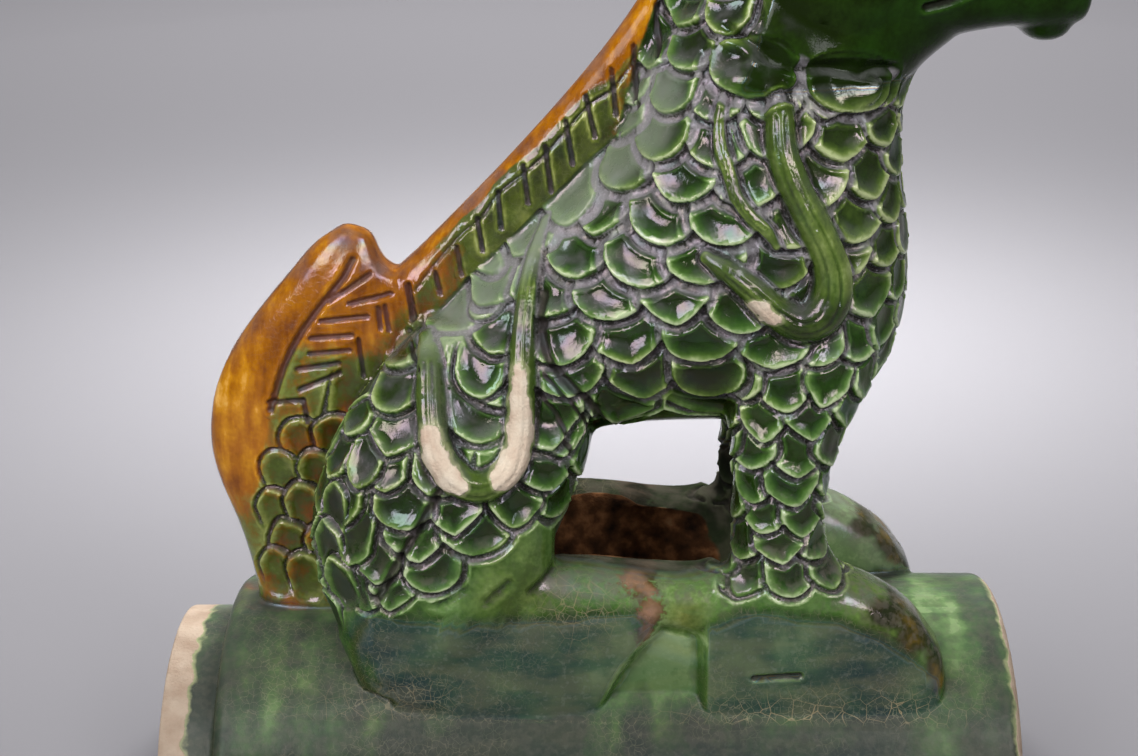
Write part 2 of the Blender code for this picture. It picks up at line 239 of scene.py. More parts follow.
def trunk(bm):
    rows = [
        (-84, 118, -44, 88, 0, 30),
        (-76, 138, -26, 108, 0, 36),
        (-62, 155, -8, 124, 0, 38),
        (-44, 173, 14, 128, 0, 38),
        (-26, 190, 41, 128, 0, 39),
        (-9, 206, 65, 129, 0, 42),
        (0, 217, 84, 142, 0, 43),
        (4, 225, 91, 163, 0, 43),
        (7, 233, 91.5, 185, 0, 40),
        (10, 242, 89, 205, 0, 36),
        (16, 252, 88, 222, 0, 33),
        (24, 266, 91, 236, 0, 29),
        (34, 282, 103, 247, 0, 24),
    ]
    loft(bm, rows, sides=64)


def crest(bm):
    rows = [
        (-74, 160, -60, 146, 0, 9),
        (-67, 174, -50, 158, 0, 9),
        (-59, 182, -38, 166, 0, 8.5),
        (-45, 196, -24, 181, 0, 8),
        (-30.5, 211, -10, 196, 0, 7.5),
        (-15, 228, 4, 213, 0, 7),
        (-2, 243.5, 14, 232, 0, 6.5),
        (9, 259, 24, 249, 0, 6),
        (19, 277, 36, 268, 0, 6),
        (29, 295, 46, 284, 0, 6),
        (43, 311, 54, 296, 0, 5),
    ]
    loft(bm, rows, squareness=3.0, domes=(4, 5))


def tail(bm):
    rows = [
        (-116, 58, -76, 58, 0, 11),
        (-116, 69, -72, 69, 0, 11),
        (-120, 88, -66, 88, 0, 11),
        (-126, 106, -60, 106, 0, 11),
        (-128, 119, -56, 120, 0, 11),
        (-126, 134, -52, 134, 0, 11),
        (-120, 148, -50, 148, 0, 10.5),
        (-111, 161, -50, 161, 0, 10),
        (-100, 174, -59, 171, 0, 9),
        (-92, 183, -69, 177, 0, 7.5),
        (-84, 188.5, -73, 185, 0, 5),
    ]
    loft(bm, rows, squareness=2.8, domes=(0, 2))


def thighs(bm):
    rows = [
        (-79, 50, -36, 46, -HAUNCH_Y - 11, 12),
        (-85, 64, -32, 60, -HAUNCH_Y - 8, 15),
        (-90, 78, -27, 74, -HAUNCH_Y - 4, 19),
        (-93, 90, -21, 88, -HAUNCH_Y - 2, 22),
        (-93.5, 102, -15, 101, -HAUNCH_Y, 24),
        (-90, 115, -10, 114, -HAUNCH_Y, 24),
        (-85, 128, -5, 127, -HAUNCH_Y + 2, 23),
        (-76, 143, -8, 140, -HAUNCH_Y + 5, 20),
        (-63, 157, -16, 156, -HAUNCH_Y + 9, 16),
    ]
    both_sides(bm, rows, domes=(0, 9))


def shanks(bm):
    rows = [
        (-78, 62, -58, 50, -35, 13),
        (-66, 82, -32, 60, -36, 13),
        (-48, 102, -19, 80, -35, 13.5),
        (-36, 116, -17, 99, -33, 12.5),
    ]
    both_sides(bm, rows, domes=(6, 7))


def forelegs(bm):
    rows = [
        (31, 172, 80, 172, -LEG_Y + 6, 16),
        (32, 152, 80, 152, -LEG_Y + 3, 16),
        (35.5, 134, 71.5, 134, -LEG_Y + 1, 15),
        (36.5, 119, 67, 119, -LEG_Y, 14.5),
        (37, 107, 65.5, 107, -LEG_Y, 14),
        (37, 96, 67, 96, -LEG_Y - 0.5, 14),
        (35, 86, 75, 84, -LEG_Y - 0.5, 14.5),
        (32, 72, 87, 68, -LEG_Y - 0.5, 15),
        (28, 56, 92, 54, -LEG_Y, 15),
    ]
    both_sides(bm, rows)


def feet(bm):
    fore = [
        (30, 84, 30, 30, -31.5, 15.5),
        (42, 88, 42, 30, -31.5, 15.5),
        (58, 89, 58, 30, -31.5, 15.5),
        (74, 86, 74, 30, -31.5, 15.5),
        (86, 80, 86, 30, -31.5, 15),
        (95, 73, 96, 32, -32, 14),
        (101, 65, 101, 34, -32.5, 12),
    ]
    both_sides(bm, fore, squareness=3.6, domes=(3, 4.5))
    hind = [
        (-66, 76, -66, 30, -33, 13),
        (-44, 84, -44, 30, -32.5, 15),
        (-22, 89, -22, 30, -32, 15.5),
        (-8, 89.5, -12, 30, -31.5, 15.5),
        (3, 88.5, -5, 38, -31.5, 15.5),
        (12, 87, 1, 52, -31.5, 15),
        (19, 85, 9, 64, -31.5, 13.5),
    ]
    both_sides(bm, hind, squareness=3.2, domes=(4, 5))
    web = [
        (2, 87, -2, 70, -31, 13.5),
        (13, 86.5, 13, 71, -31, 14),
        (24, 86, 24, 69.5, -31, 14),
        (33, 88, 36, 60, -31, 14),
    ]
    both_sides(bm, web, squareness=3.0)
    behind_the_arch = [
        (-14, 84, -14, 30, -30, 11),
        (10, 84, 10, 30, -30, 11),
        (38, 84, 38, 30, -30, 11),
    ]
    both_sides(bm, behind_the_arch, squareness=4.0)


def head(bm):
    rows = [
        (32, 288, 40, 262, 0, 17),
        (39, 300, 44, 249, 0, 23),
        (51, 306, 53, 241, 0, 26.5),
        (66, 307, 66, 239, 0, 28),
        (80, 303, 79, 241, 0, 26),
        (92, 292, 92, 244.5, 0, 22),
        (104, 283, 104, 247.5, 0, 18.5),
        (117, 279, 117, 249.5, 0, 17),
        (128, 280, 129, 249, 0, 17),
        (136.5, 274, 137, 250.5, 0, 14),
    ]
    loft(bm, rows, squareness=2.3, domes=(6, 5))
    ball(bm, (129, 0, 250.5), (8, 9, 5.5))
    ear = [
        (44, 291, 56, 300, -20, 5.5),
        (32, 298, 46, 309, -25, 5.5),
        (22, 306, 31, 313, -29, 3),
    ]
    both_sides(bm, ear, domes=(2, 3))
    for side in (-1, 1):
        ball(bm, (130, side * 11, 274), (7.5, 6.5, 6.5))
        ball(bm, (90, side * 19.5, 286.5), (6.5, 5, 5.5))
        ball(bm, (81, side * 19, 297.5), (16, 7, 5))
        ball(bm, (62, side * 17, 262), (22, 12.5, 19))
        ball(bm, (43, side * 30, 240), (11, 4.5, 7))
        ball(bm, (66, side * 26.5, 236), (13, 4.5, 6.5))


FORMS = (trunk, crest, tail, thighs, shanks, forelegs, feet, head)
FORM_VOXEL = 1.3
FORM_SOFTENING = 3


def soften(obj, rounds):
    """A modifier that rubs the surface smooth so many times over."""
    soft = obj.modifiers.new("softened", "SMOOTH")
    soft.factor = 0.5
    soft.iterations = rounds


def fused(obj, voxel, softening):
    """One skin round all the overlapping forms of an object, softened."""
    skin = obj.modifiers.new("one skin", "REMESH")
    skin.mode = "VOXEL"
    skin.voxel_size = voxel
    soften(obj, softening)
    baked(obj)


def points_of(mesh):
    flat = np.empty(len(mesh.vertices) * 3, np.float32)
    mesh.vertices.foreach_get("co", flat)
    return flat.reshape(-1, 3).astype(float)


def normals_of(mesh):
    flat = np.empty(len(mesh.vertices) * 3, np.float32)
    mesh.vertex_normals.foreach_get("vector", flat)
    return flat.reshape(-1, 3).astype(float)


def move_to(mesh, points):
    mesh.vertices.foreach_set("co", points.astype(np.float32).ravel())
    mesh.update()


def surface_of(form):
    """The surface of what a form puts in a mesh, to lay cords and scales out on."""
    bm = bmesh.new()
    form(bm)
    tree = BVHTree.FromBMesh(bm)
    bm.free()
    return tree


clay = bmesh.new()
for form in FORMS:
    form(clay)
beast = object_from("beast", clay)
fused(beast, FORM_VOXEL, FORM_SOFTENING)
plain = surface_of(lambda bm: bm.from_mesh(beast.data))

# ---- The flame cords ---------------------------------------------------------------------------
# Rolled strings of clay laid on the skin: a hook on each haunch, a hook and a short strand on each
# shoulder, and the mane's edge behind the jaw. Each follows its path as a round bead of varying width.
HAUNCH_HOOK = [(-56.5, 161), (-55, 156), (-54.3, 147), (-53.3, 138), (-50.5, 129), (-44.5, 122.5)]
HAUNCH_HOOK += [(-37.5, 120.8), (-30, 125.5), (-27, 135), (-26.6, 149), (-26.4, 163), (-25.5, 174)]
HAUNCH_HOOK += [(-23.5, 184), (-20, 193.5)]
SHOULDER_HOOK = [(46.5, 238), (48, 230), (48.7, 221), (52, 211.5), (57, 201.5), (61.8, 192.5)]
SHOULDER_HOOK += [(64.6, 184), (64.3, 176), (60.5, 171), (54.5, 169.6), (48, 173.4), (40.5, 180.3)]
SHOULDER_HOOK += [(33, 186), (27.5, 189.3)]
MANE_EDGE = [(31.5, 235), (30.6, 228), (31, 221), (33.5, 214), (35.8, 207), (40, 201.6), (44.5, 197.8)]
MANE_EDGE += [(47.5, 193)]
CORDS = [
    (HAUNCH_HOOK, [2.2, 3.6, 4.3, 4.6, 5.0, 5.0, 4.8, 4.6, 4.4, 4.2, 3.6, 3.0, 2.4, 1.5]),
    (SHOULDER_HOOK, [2.8, 4.2, 4.6, 4.8, 5.0, 5.2, 5.8, 6.4, 6.2, 5.6, 4.8, 4.0, 3.2, 2.0]),
    (MANE_EDGE, [1.0, 1.6, 2.0, 2.1, 2.1, 2.0, 1.8, 1.1]),
]
CORD_LIFT = -1.0
CORD_SIDES = 14
CORD_SPANS = 6
BEAD_SOCKETS = [("Path", "INPUT", "Geometry"), ("Sides", "INPUT", "Int"), ("Material", "INPUT", "Material")]
BEAD_SOCKETS += [("Bead", "OUTPUT", "Geometry")]


def near_side(x, z):
    """The place on the plain beast's near side at that x and z, and which way it faces there."""
    return plain.ray_cast(Vector((x, -120.0, z)), Vector((0, 1, 0)))[:2]


def laid_on(route, lift):
    """Points in the XZ plane moved along Y onto the beast's near side, and raised by lift."""
    out = []
    for x, z in route:
        place, normal = near_side(x, z)
        out.append(tuple(place + normal * lift))
    return np.array(out)


def bead_tree():
    """Geometry nodes: a round bead along each edge path, as wide as its points' radius says."""
    tree = bpy.data.node_groups.new("bead_along_path", "GeometryNodeTree")
    for name, way, kind in BEAD_SOCKETS:
        tree.interface.new_socket(name, in_out=way, socket_type="NodeSocket" + kind)
    given = tree.nodes.new("NodeGroupInput")
    to_curve = tree.nodes.new("GeometryNodeMeshToCurve")
    radius = tree.nodes.new("GeometryNodeInputNamedAttribute")
    radius.inputs["Name"].default_value = "radius_of_bead"
    set_radius = tree.nodes.new("GeometryNodeSetCurveRadius")
    circle = tree.nodes.new("GeometryNodeCurvePrimitiveCircle")
    circle.inputs["Radius"].default_value = 1.0
    sweep = tree.nodes.new("GeometryNodeCurveToMesh")
    sweep.inputs["Fill Caps"].default_value = True
    real = tree.nodes.new("GeometryNodeRealizeInstances")
    finish = tree.nodes.new("GeometryNodeSetMaterial")
    bead = tree.nodes.new("NodeGroupOutput")
    joins = [
        (given, "Path", to_curve, "Mesh"),
        (to_curve, "Curve", set_radius, "Curve"),
        (radius, "Attribute", set_radius, "Radius"),
        (set_radius, "Curve", sweep, "Curve"),
        (radius, "Attribute", sweep, "Scale"),
        (given, "Sides", circle, "Resolution"),
        (circle, "Curve", sweep, "Profile Curve"),
        (sweep, "Mesh", real, "Geometry"),
        (real, "Geometry", finish, "Geometry"),
        (given, "Material", finish, "Material"),
        (finish, "Geometry", bead, "Bead"),
    ]
    for node, output, other, socket in joins:
        tree.links.new(node.outputs[output], other.inputs[socket])
    return tree


def add_modifier(obj, tree, **values):
    """A Geometry Nodes modifier on obj, with each named input set by its socket's identifier."""
    step = obj.modifiers.new(tree.name, "NODES")
    step.node_group = tree
    for item in tree.interface.items_tree:
        if item.in_out == "INPUT" and item.name in values:
            step[item.identifier] = values[item.name]
    return step


glaze = bpy.data.materials.new("green_and_amber_lead_glaze")
cord_lines = []
paths = bpy.data.meshes.new("flame_cords")
places = []
edges = []
widths = []
for route, radii in CORDS:
    near = laid_on(route, CORD_LIFT)
    dense = spline(np.column_stack([near, radii]), CORD_SPANS)
    cord_lines.append(dense)
    for side in (1, -1):
        start = len(places)
        places += [(x, side * y, z) for x, y, z in dense[:, :3]]
        widths += list(dense[:, 3])
        edges += [(start + i, start + i + 1) for i in range(len(dense) - 1)]
paths.from_pydata(places, edges, [])
paths.attributes.new("radius_of_bead", "FLOAT", "POINT").data.foreach_set("value", widths)
cords = object_of("flame_cords", paths)
add_modifier(cords, bead_tree(), Sides=CORD_SIDES, Material=glaze)
baked(cords)


def joined(obj, others):
    """Adds the others' meshes to obj's as loose shells, and removes them."""
    bm = bmesh.new()
    bm.from_mesh(obj.data)
    for other in others:
        bm.from_mesh(other.data)
        bpy.data.objects.remove(other)
    bm.to_mesh(obj.data)
    bm.free()


# ---- One body ----------------------------------------------------------------------------------
# The beast is luted onto the crown of the tile, and a vent is cut up through the crown between its
# feet, so that steam can leave the hollow while it is fired. From here on it is one solid.
VENT_CENTRE = (12.0, 0.0)
VENT_HALF_LENGTH = 36.0
VENT_HALF_WIDTH = 21.0
VENT_TOP = 100.0
WALL_MIDDLE = (TILE_BORE + TILE_RADIUS) / 2
CORE_LENGTH = 400.0
SKIN_VOXEL = 0.66
SKIN_SOFTENING = 2

along_x = Matrix.Rotation(math.radians(90), 4, "Y")
core = along_x @ Matrix.Diagonal((WALL_MIDDLE, WALL_MIDDLE, CORE_LENGTH, 1))
cut(beast, solid("inside_the_wall", cylinder, core))
joined(tile, [beast, cords])
fused(tile, SKIN_VOXEL, SKIN_SOFTENING)
depth = VENT_TOP - TILE_BORE / 2
shaft = Matrix.Translation((*VENT_CENTRE, VENT_TOP - depth / 2))
shaft = shaft @ Matrix.Diagonal((VENT_HALF_LENGTH, VENT_HALF_WIDTH, depth, 1))
cut(tile, solid("vent_shaft", cylinder, shaft))
body = tile
body.name = "ridge_beast"
body.data.name = body.name

# ---- The scales --------------------------------------------------------------------------------
# Scales are cut into the damp skin with a gouge, from the lowest row up, each over the row below. The
# gouge leaves a cupped face with a crisp rim, a broad flat groove under its free edge and a burr beyond.
SEED = 11
RISE_AT_ROOT = 0.3
RISE_AT_EDGE = 1.5
CUP_DEPTH = 0.08
RIM_HEIGHT = 0.35
RIM_INSET = 0.5
RIM_WIDTH = 0.5
GROOVE_DEPTH = 1.5
GROOVE_REACH = 0.28
BURR_HEIGHT = 0.5
BURR_WIDTH = 0.5
EDGE_BLEND = 0.35
SCALE_MARGIN = 5
GOUGE_MARGIN = 5.5
SAME_FACING = 0.25
STEEPEST_TOP = 0.42
ROOT_SQUARENESS = 3.0
STRAIGHT_DOWN = (0, 0, -1)

# A form's scales show where its own surface lies within this of the finished beast's.
OVERLAP = 3.0

# A scale's half width, drop and root as shares of its spacing, and how unsteadily each is cut by hand.
HALF_SCALE = 0.53
DROP = 0.78
ROOT = 1.7
LEAST_SLOPE = 0.6
EDGE_SQUARENESS = (1.3, 2.1)
HAND_TURN = 8
HAND_ACROSS = 0.7
HAND_ALONG = 0.6
HAND_DROP = (1.06, 0.08)
HAND_WIDTH = 0.05

# The crest's front edge on each side, as (z, x): no scale is cut behind it.
CREST_SIDE = [(149, -68), (161, -56), (174, -44), (192, -25), (219, 2.3), (240, 7.9), (262, 15), (290, 26)]

rng = np.random.default_rng(SEED)
skin = points_of(body.data)
outward = normals_of(body.data)
by_height = np.argsort(skin[:, 2])
heights = skin[by_height, 2]


def smooth(edge_a, edge_b, value):
    """0 at edge_a, 1 at edge_b, with an easy slope between."""
    t = np.clip((value - edge_a) / (edge_b - edge_a), 0, 1)
    return t * t * (3 - 2 * t)


def bump(distance, width):
    return np.exp(-((distance / width) ** 2))


def near_to(place, reach):
    """The numbers of the skin's points within a box of the given half size about a place."""
    first, last = np.searchsorted(heights, (place[2] - reach, place[2] + reach))
    slab = by_height[first:last]
    return slab[(np.abs(skin[slab, 0] - place[0]) < reach) & (np.abs(skin[slab, 1] - place[1]) < reach)]


def distance_to(route, points):
    """Each point's distance to the nearest point of a route, and which one that is."""
    best = np.full(len(points), np.inf)
    which = np.zeros(len(points), int)
    for i, place in enumerate(route):
        d = np.linalg.norm(points - place, axis=1)
        closer = d < best
        best[closer] = d[closer]
        which[closer] = i
    return best, which


def level_row(surface, y, z, width, phase, sweep):
    """Places a width apart round a form at one height, swept from the front (0) past the near side."""
    back = surface.ray_cast(Vector((-300, y, z)), Vector((1, 0, 0)))[0]
    front = surface.ray_cast(Vector((300, y, z)), Vector((-1, 0, 0)))[0]
    if back is None or front is None:
        return []
    centre = (back + front) / 2
    outline = []
    for a in np.radians(np.arange(sweep[0], sweep[1] + 1, 3)):
        hit = surface.ray_cast(centre, Vector((math.cos(a), -math.sin(a), 0)))
        if hit[0] is not None:
            outline.append((*hit[0], *hit[1]))
    outline = np.array(outline)
    steps = np.linalg.norm(np.diff(outline[:, :3], axis=0), axis=1)
    middles = (outline[1:, :3] + outline[:-1, :3]) / 2
    count = np.concatenate([[0], np.cumsum(steps / width(middles[:, 0], middles[:, 2]))])
    wanted = np.arange(phase, count[-1], 1.0)
    return [np.array([np.interp(w, count, outline[:, k]) for k in range(6)]) for w in wanted]


def hung(form, y, levels, width, stretch=1.0, sweep=(0, 180), keep=lambda x, y, z: True):
    """Scales on one form: (place, outward, down, half width, drop, root) for each that shows.

    The drop is how far the rounded free edge hangs below the place, and the root how far the scale
    runs up under the rows above.
    """
    surface = surface_of(form)
    found = []
    gaps = np.abs(np.gradient(np.array(levels, float)))
    for i, (z, gap) in enumerate(zip(levels, gaps)):
        for place in level_row(surface, y, z, width, 0.5 * (i % 2), sweep):
            skin_point, normal, _, away = plain.find_nearest(Vector(place[:3]))
            if away > OVERLAP or not keep(*place[:3]):
                continue
            scale = facing(skin_point, normal, STRAIGHT_DOWN)
            if scale is None:
                continue
            half_width = HALF_SCALE * float(width(place[0], place[2]))
            drop = DROP * half_width * stretch
            root = ROOT * gap * stretch / max(scale[3], LEAST_SLOPE)
            found.append((*scale[:3], half_width, drop, root))
    return found


def facing(place, normal, down):
    """A place, its outward direction, down along the skin, and how steep the skin is there."""
    normal = np.array(normal)
    hang = np.array(down, float) - normal * np.dot(down, normal)
    slope = np.linalg.norm(hang)
    if slope < STEEPEST_TOP:
        return None
    return np.array(place), normal, hang / slope, slope


def trunk_width(x, z):
    return 15.0 + 5.5 * smooth(245, 215, z) * smooth(90, 70, x) - 1.5 * smooth(70, 90, x)


def thigh_width(x, z):
    return 12.0 + 5.5 * smooth(-74, -60, x)


def leg_width(x, z):
    return np.full_like(np.asarray(x, float), 14.5)


def neck_and_trunk(x, y, z):
    behind_the_jaw = x < 36 + 0.35 * (z - 238)
    plain_belly = z < 145 and x > 6
    return (z < 236 or behind_the_jaw) and not plain_belly


def front_of_thigh(x, y, z):
    inside_hook = abs(x + 40) < 12 and z > 122
    above_foot = z > np.interp(x, [-70, -50, -40, -31, -22], [83, 86, 95, 102, 110])
    return x > -71 and above_foot and not inside_hook


def back_of_thigh(x, y, z):
    return x <= -71 and z > 84


def outside_of_leg(x, y, z):
    return y < -16


# The heights of the rows on each form, and a column of single scales inside the haunch's hook.
TRUNK_ROWS = [141, 153, 165, 177, 189, 201, 212.5, 224, 235, 246, 257, 268, 279]
THIGH_ROWS = [86, 95, 104.5, 114, 124, 134.5, 145, 156]
BROAD_THIGH_ROWS = [86, 99, 112, 125, 138, 151]
LEG_ROWS = [90, 100, 110, 120, 130, 140.5, 151, 162]
HOOK_COLUMN = [(-38.5, 181, 6.5, 5), (-38.5, 171, 7, 5.5), (-39.5, 153, 7.5, 8), (-41, 139, 7.5, 6)]
HOOK_ROOT = 13
thigh = (thighs, -HAUNCH_Y)
scales = hung(trunk, 0, TRUNK_ROWS, trunk_width, keep=neck_and_trunk)
scales += hung(*thigh, THIGH_ROWS, thigh_width, sweep=(-20, 200), keep=front_of_thigh)
scales += hung(*thigh, BROAD_THIGH_ROWS, thigh_width, 1.25, sweep=(60, 215), keep=back_of_thigh)
scales += hung(forelegs, -LEG_Y, LEG_ROWS, leg_width, sweep=(-175, 184), keep=outside_of_leg)
for at_x, at_z, half_width, drop in HOOK_COLUMN:
    scales.append((*facing(*near_side(at_x, at_z), STRAIGHT_DOWN)[:3], half_width, drop, HOOK_ROOT))


def jittered(scale):
    """The same scale, cut a little out of place by hand, its edge round or nearer to a point."""
    place, normal, hang, half_width, drop, root = scale
    turn = np.radians(rng.normal(0, HAND_TURN))
    across = np.cross(normal, hang)
    hang = hang * math.cos(turn) + across * math.sin(turn)
    place = place + across * rng.normal(0, HAND_ACROSS) + hang * rng.normal(0, HAND_ALONG)
    squareness = rng.uniform(*EDGE_SQUARENESS) - 0.2 * smooth(165, 145, place[2])
    drop = drop * rng.normal(*HAND_DROP)
    return place, normal, hang, half_width * rng.normal(1, HAND_WIDTH), drop, root, squareness


def mirrored(scale):
    flip = np.array([1.0, -1.0, 1.0])
    return *(part * flip for part in scale[:3]), *scale[3:]


rise = np.full(len(skin), SKIN_SUNK)
groove = np.zeros(len(skin))
burr = np.zeros(len(skin))
pool = np.zeros(len(skin))


def cut_scale(scale):
    """Lays one scale over what is there: its cupped face, and the groove and burr past its edge."""
    place, normal, hang, half_width, drop, root, edge_squareness = scale
    reach = max(half_width, drop, root) + SCALE_MARGIN
    near = near_to(place, reach)
    near = near[outward[near] @ normal > SAME_FACING]
    offset = skin[near] - place
    u = offset @ np.cross(normal, hang)
    v = offset @ hang
    half_length = np.where(v > 0, drop, root)
    squareness = np.where(v > 0, edge_squareness, ROOT_SQUARENESS)
    rho = (np.abs(u / half_width) ** squareness + np.abs(v / half_length) ** squareness) ** (1 / squareness)
    inset = np.hypot(u, v) * (1 / np.maximum(rho, 1e-3) - 1)
    shown = (inset > -GOUGE_MARGIN) & (np.abs(offset @ normal) < 0.6 * reach)
    near, u, v, inset = near[shown], u[shown], v[shown], inset[shown]
    over = smooth(-EDGE_BLEND, EDGE_BLEND, inset)
    face = RISE_AT_ROOT + (RISE_AT_EDGE - RISE_AT_ROOT) * smooth(-root, 1.2 * drop, v)
    face += RIM_HEIGHT * bump(inset - RIM_INSET, RIM_WIDTH) * smooth(-0.5 * root, 0, v)
    face -= CUP_DEPTH * half_width * 2 * smooth(0.8, 0.6 * half_width, inset)
    free = smooth(-0.8 * root, -0.3 * root, v)
    outside = np.maximum(-inset, 0)
    rise[near] = rise[near] * (1 - over) + face * over
    pool[near] = pool[near] * (1 - over) + smooth(0.6, 4.8, inset) * over
    past = (1 - over) * free
    ledge = GROOVE_REACH * half_width * (1 + 0.35 * smooth(165, 195, place[2]) * smooth(48, 30, place[0]))
    gouge = smooth(-0.1, 0.4, outside) * smooth(ledge, 0.6 * ledge, outside)
    groove[near] = np.maximum(groove[near] * (1 - over), gouge * past)
    burr[near] = np.maximum(burr[near] * (1 - over), bump(outside - ledge - 0.1, BURR_WIDTH) * past)


def cut_pair(scale):
    cut_scale(scale)
    cut_scale(mirrored(scale))


scales = [jittered(scale) for scale in scales]
scales += [mirrored(scale) for scale in scales]
scales.sort(key=lambda scale: scale[0][2])
for scale in scales:
    cut_scale(scale)

# Nothing is cut on the cords, the crest's sides or the cheeks, and a groove runs beside each cord.
CORD_GROOVE = 0.9
CORD_REACH = 9
FAR_AWAY = 99.0
CREST_HALF_WIDTH = 9.5
folded = skin * np.array([1.0, -1.0, 1.0])
folded[skin[:, 1] < 0] = skin[skin[:, 1] < 0]
beside_cord = np.full(len(skin), FAR_AWAY)
for line in cord_lines:
    fine = spline(line, 3)
    low = fine[:, :3].min(axis=0) - CORD_REACH
    high = fine[:, :3].max(axis=0) + CORD_REACH
    near = np.nonzero(((folded > low) & (folded < high)).all(axis=1))[0]
    away, which = distance_to(fine[:, :3], folded[near])
    beside_cord[near] = np.minimum(beside_cord[near], away - fine[which, 3])
x, y, z = skin.T
crest_line = np.interp(z, *np.array(CREST_SIDE).T)
below_crest = x - crest_line
on_crest = smooth(0.8, -0.8, below_crest) * smooth(CREST_HALF_WIDTH + 2, CREST_HALF_WIDTH, np.abs(y))
on_crest *= smooth(140, 150, z)
on_cord = smooth(0.9, 0.1, beside_cord)
on_head = smooth(36, 39, x - 0.35 * (z - 238)) * smooth(234, 238, z)
plain_skin = np.maximum(np.maximum(on_crest, on_cord), on_head)
beside = bump(beside_cord - 1.1, 0.8) * (1 - on_head)
groove = np.maximum(groove * (1 - plain_skin), beside * CORD_GROOVE)
burr *= 1 - plain_skin
pool = pool * (1 - plain_skin) + 0.35 * on_cord + 0.65 * on_cord * smooth(184, 172, z) * smooth(46, 54, x)
rise = rise * (1 - plain_skin) + SKIN_SUNK * plain_skin

# The tail's scales stand the other way up, with their free edges towards its tip, and two plain
# flaps hang behind the jaw on each side.
TAIL_SCALES = [(-98, 124), (-87, 126), (-105, 112), (-94, 113), (-84, 114), (-108, 100), (-98, 101)]
TAIL_SCALES += [(-88, 101), (-104, 89), (-94, 89), (-84, 89), (-108, 78), (-98, 77), (-88, 77)]
TAIL_SCALE_SIZE = (6.2, 5.2, 12)
TAIL_FACING = (-0.35, 0.0, 0.94)
JAW_FLAPS = [(39.5, 245, 13, 8.5, 8, 2.0), (69, 239, 13.5, 9, 8, 2.0)]
for at_x, at_z in TAIL_SCALES:
    cut_pair(jittered((*facing(*near_side(at_x, at_z), TAIL_FACING)[:3], *TAIL_SCALE_SIZE)))
for at_x, at_z, *size in JAW_FLAPS:
    cut_pair((*facing(*near_side(at_x, at_z), STRAIGHT_DOWN)[:3], *size))
unsteady = np.sin(0.21 * x + 0.13 * z + 1.3 * np.sin(0.11 * z)) * np.sin(0.17 * z - 0.09 * x + 0.7)
groove = np.minimum(groove * (0.9 + 0.3 * unsteady), 1.0)
relief = rise - SKIN_SUNK + BURR_HEIGHT * burr - GROOVE_DEPTH * groove
relief *= 0.6 + 0.4 * smooth(0.25, 0.6, np.abs(outward[:, 1]))

# The slip brushed on where the crest is luted to the back has half filled the scales beside it.
SLIP_FILL = 0.55
beside_crest = smooth(17, 9, below_crest) * smooth(-0.5, 1.5, below_crest) * smooth(148, 158, z)
beside_crest *= smooth(246, 234, z)
beside_crest *= smooth(34, 26, np.abs(y))
relief *= 1 - SLIP_FILL * beside_crest

# ---- The scored lines --------------------------------------------------------------------------
# Cuts made with a pointed tool in the firm clay: feather strokes on the tail, upright cuts across the
# crest's sides, folds and leaves on haunch and foot, a slit in the fore foot, fine strokes along the
# cords, and the mouth and jaw. Each throws up a thin burr on both sides.
BURR_SHARE = 0.3
SIDE_ON = 0.3
scored = np.zeros(len(skin))


def score(route, depth, width, sooty=1.0, per_span=6):
    """Cuts a line that is given in the XZ plane into both sides, and lets soot into it."""
    route = np.array(route, float)
    fine = spline(route, per_span) if len(route) > 2 else np.linspace(route[0], route[1], 12)
    reach = 5 * width
    near = (x > fine[:, 0].min() - reach) & (x < fine[:, 0].max() + reach)
    near &= (z > fine[:, 1].min() - reach) & (z < fine[:, 1].max() + reach)
    near &= np.abs(outward[:, 1]) > SIDE_ON
    near = np.nonzero(near)[0]
    flat = skin[near][:, [0, 2]]
    best = np.full(len(near), np.inf)
    for a, b in zip(fine[:-1], fine[1:]):
        along = b - a
        t = np.clip((flat - a) @ along / max(along @ along, 1e-9), 0, 1)
        best = np.minimum(best, np.linalg.norm(flat - a - t[:, None] * along, axis=1))
    line = bump(best, width)
    scored[near] = np.maximum(scored[near], sooty * line)
    relief[near] += BURR_SHARE * depth * bump(best - 2 * width, 0.9 * width) - depth * line


TAIL_SPINE = [(-79, 180), (-82.7, 173.7), (-90, 165), (-96.5, 156), (-102, 145.5), (-106.5, 132)]
TAIL_STROKES = [((-86.5, 167.5), (-74, 175.5)), ((-80.5, 166.5), (-67.5, 169.5))]
TAIL_STROKES += [((-89.5, 161), (-75, 162.5)), ((-93, 155.5), (-80, 156.5)), ((-93.5, 150.5), (-81, 151.5))]
TAIL_STROKES += [((-97.5, 145.5), (-84.5, 147.5)), ((-97, 139), (-84.5, 144))]
TAIL_STROKES += [((-107, 134.5), (-96, 135.5))]
TAIL_STROKES += [((-62.5, 172), (-61, 161)), ((-69.5, 165.5), (-68.5, 158)), ((-78, 155), (-77, 143))]
TAIL_STROKES += [((-71.5, 165), (-71, 158.5)), ((-96, 135), (-95, 128)), ((-62, 158), (-58, 153))]
HAUNCH_FOLD = [(-51.5, 119), (-57, 109), (-64, 97), (-71, 84)]
HIP_GROOVE = [(-20.5, 176), (-20.5, 163), (-15.5, 153), (-7, 144), (-1.5, 134)]
HIP_LEAVES = [((-20, 153), (-11, 142), (-6, 132)), ((-21, 146), (-15, 137), (-12, 127))]
FOOT_LEAVES = [((-52, 83), (-45, 88)), ((-38, 84), (-31, 90)), ((-24, 86), (-17, 91))]
FOOT_SLIT = [(44, 57), (58, 58)]
JAW_LINE = [(33, 252.5), (38, 250.5), (43.5, 247.8), (48.5, 244.6), (54, 242.6), (61, 243), (72, 242)]
JAW_LINE += [(81, 240.5)]
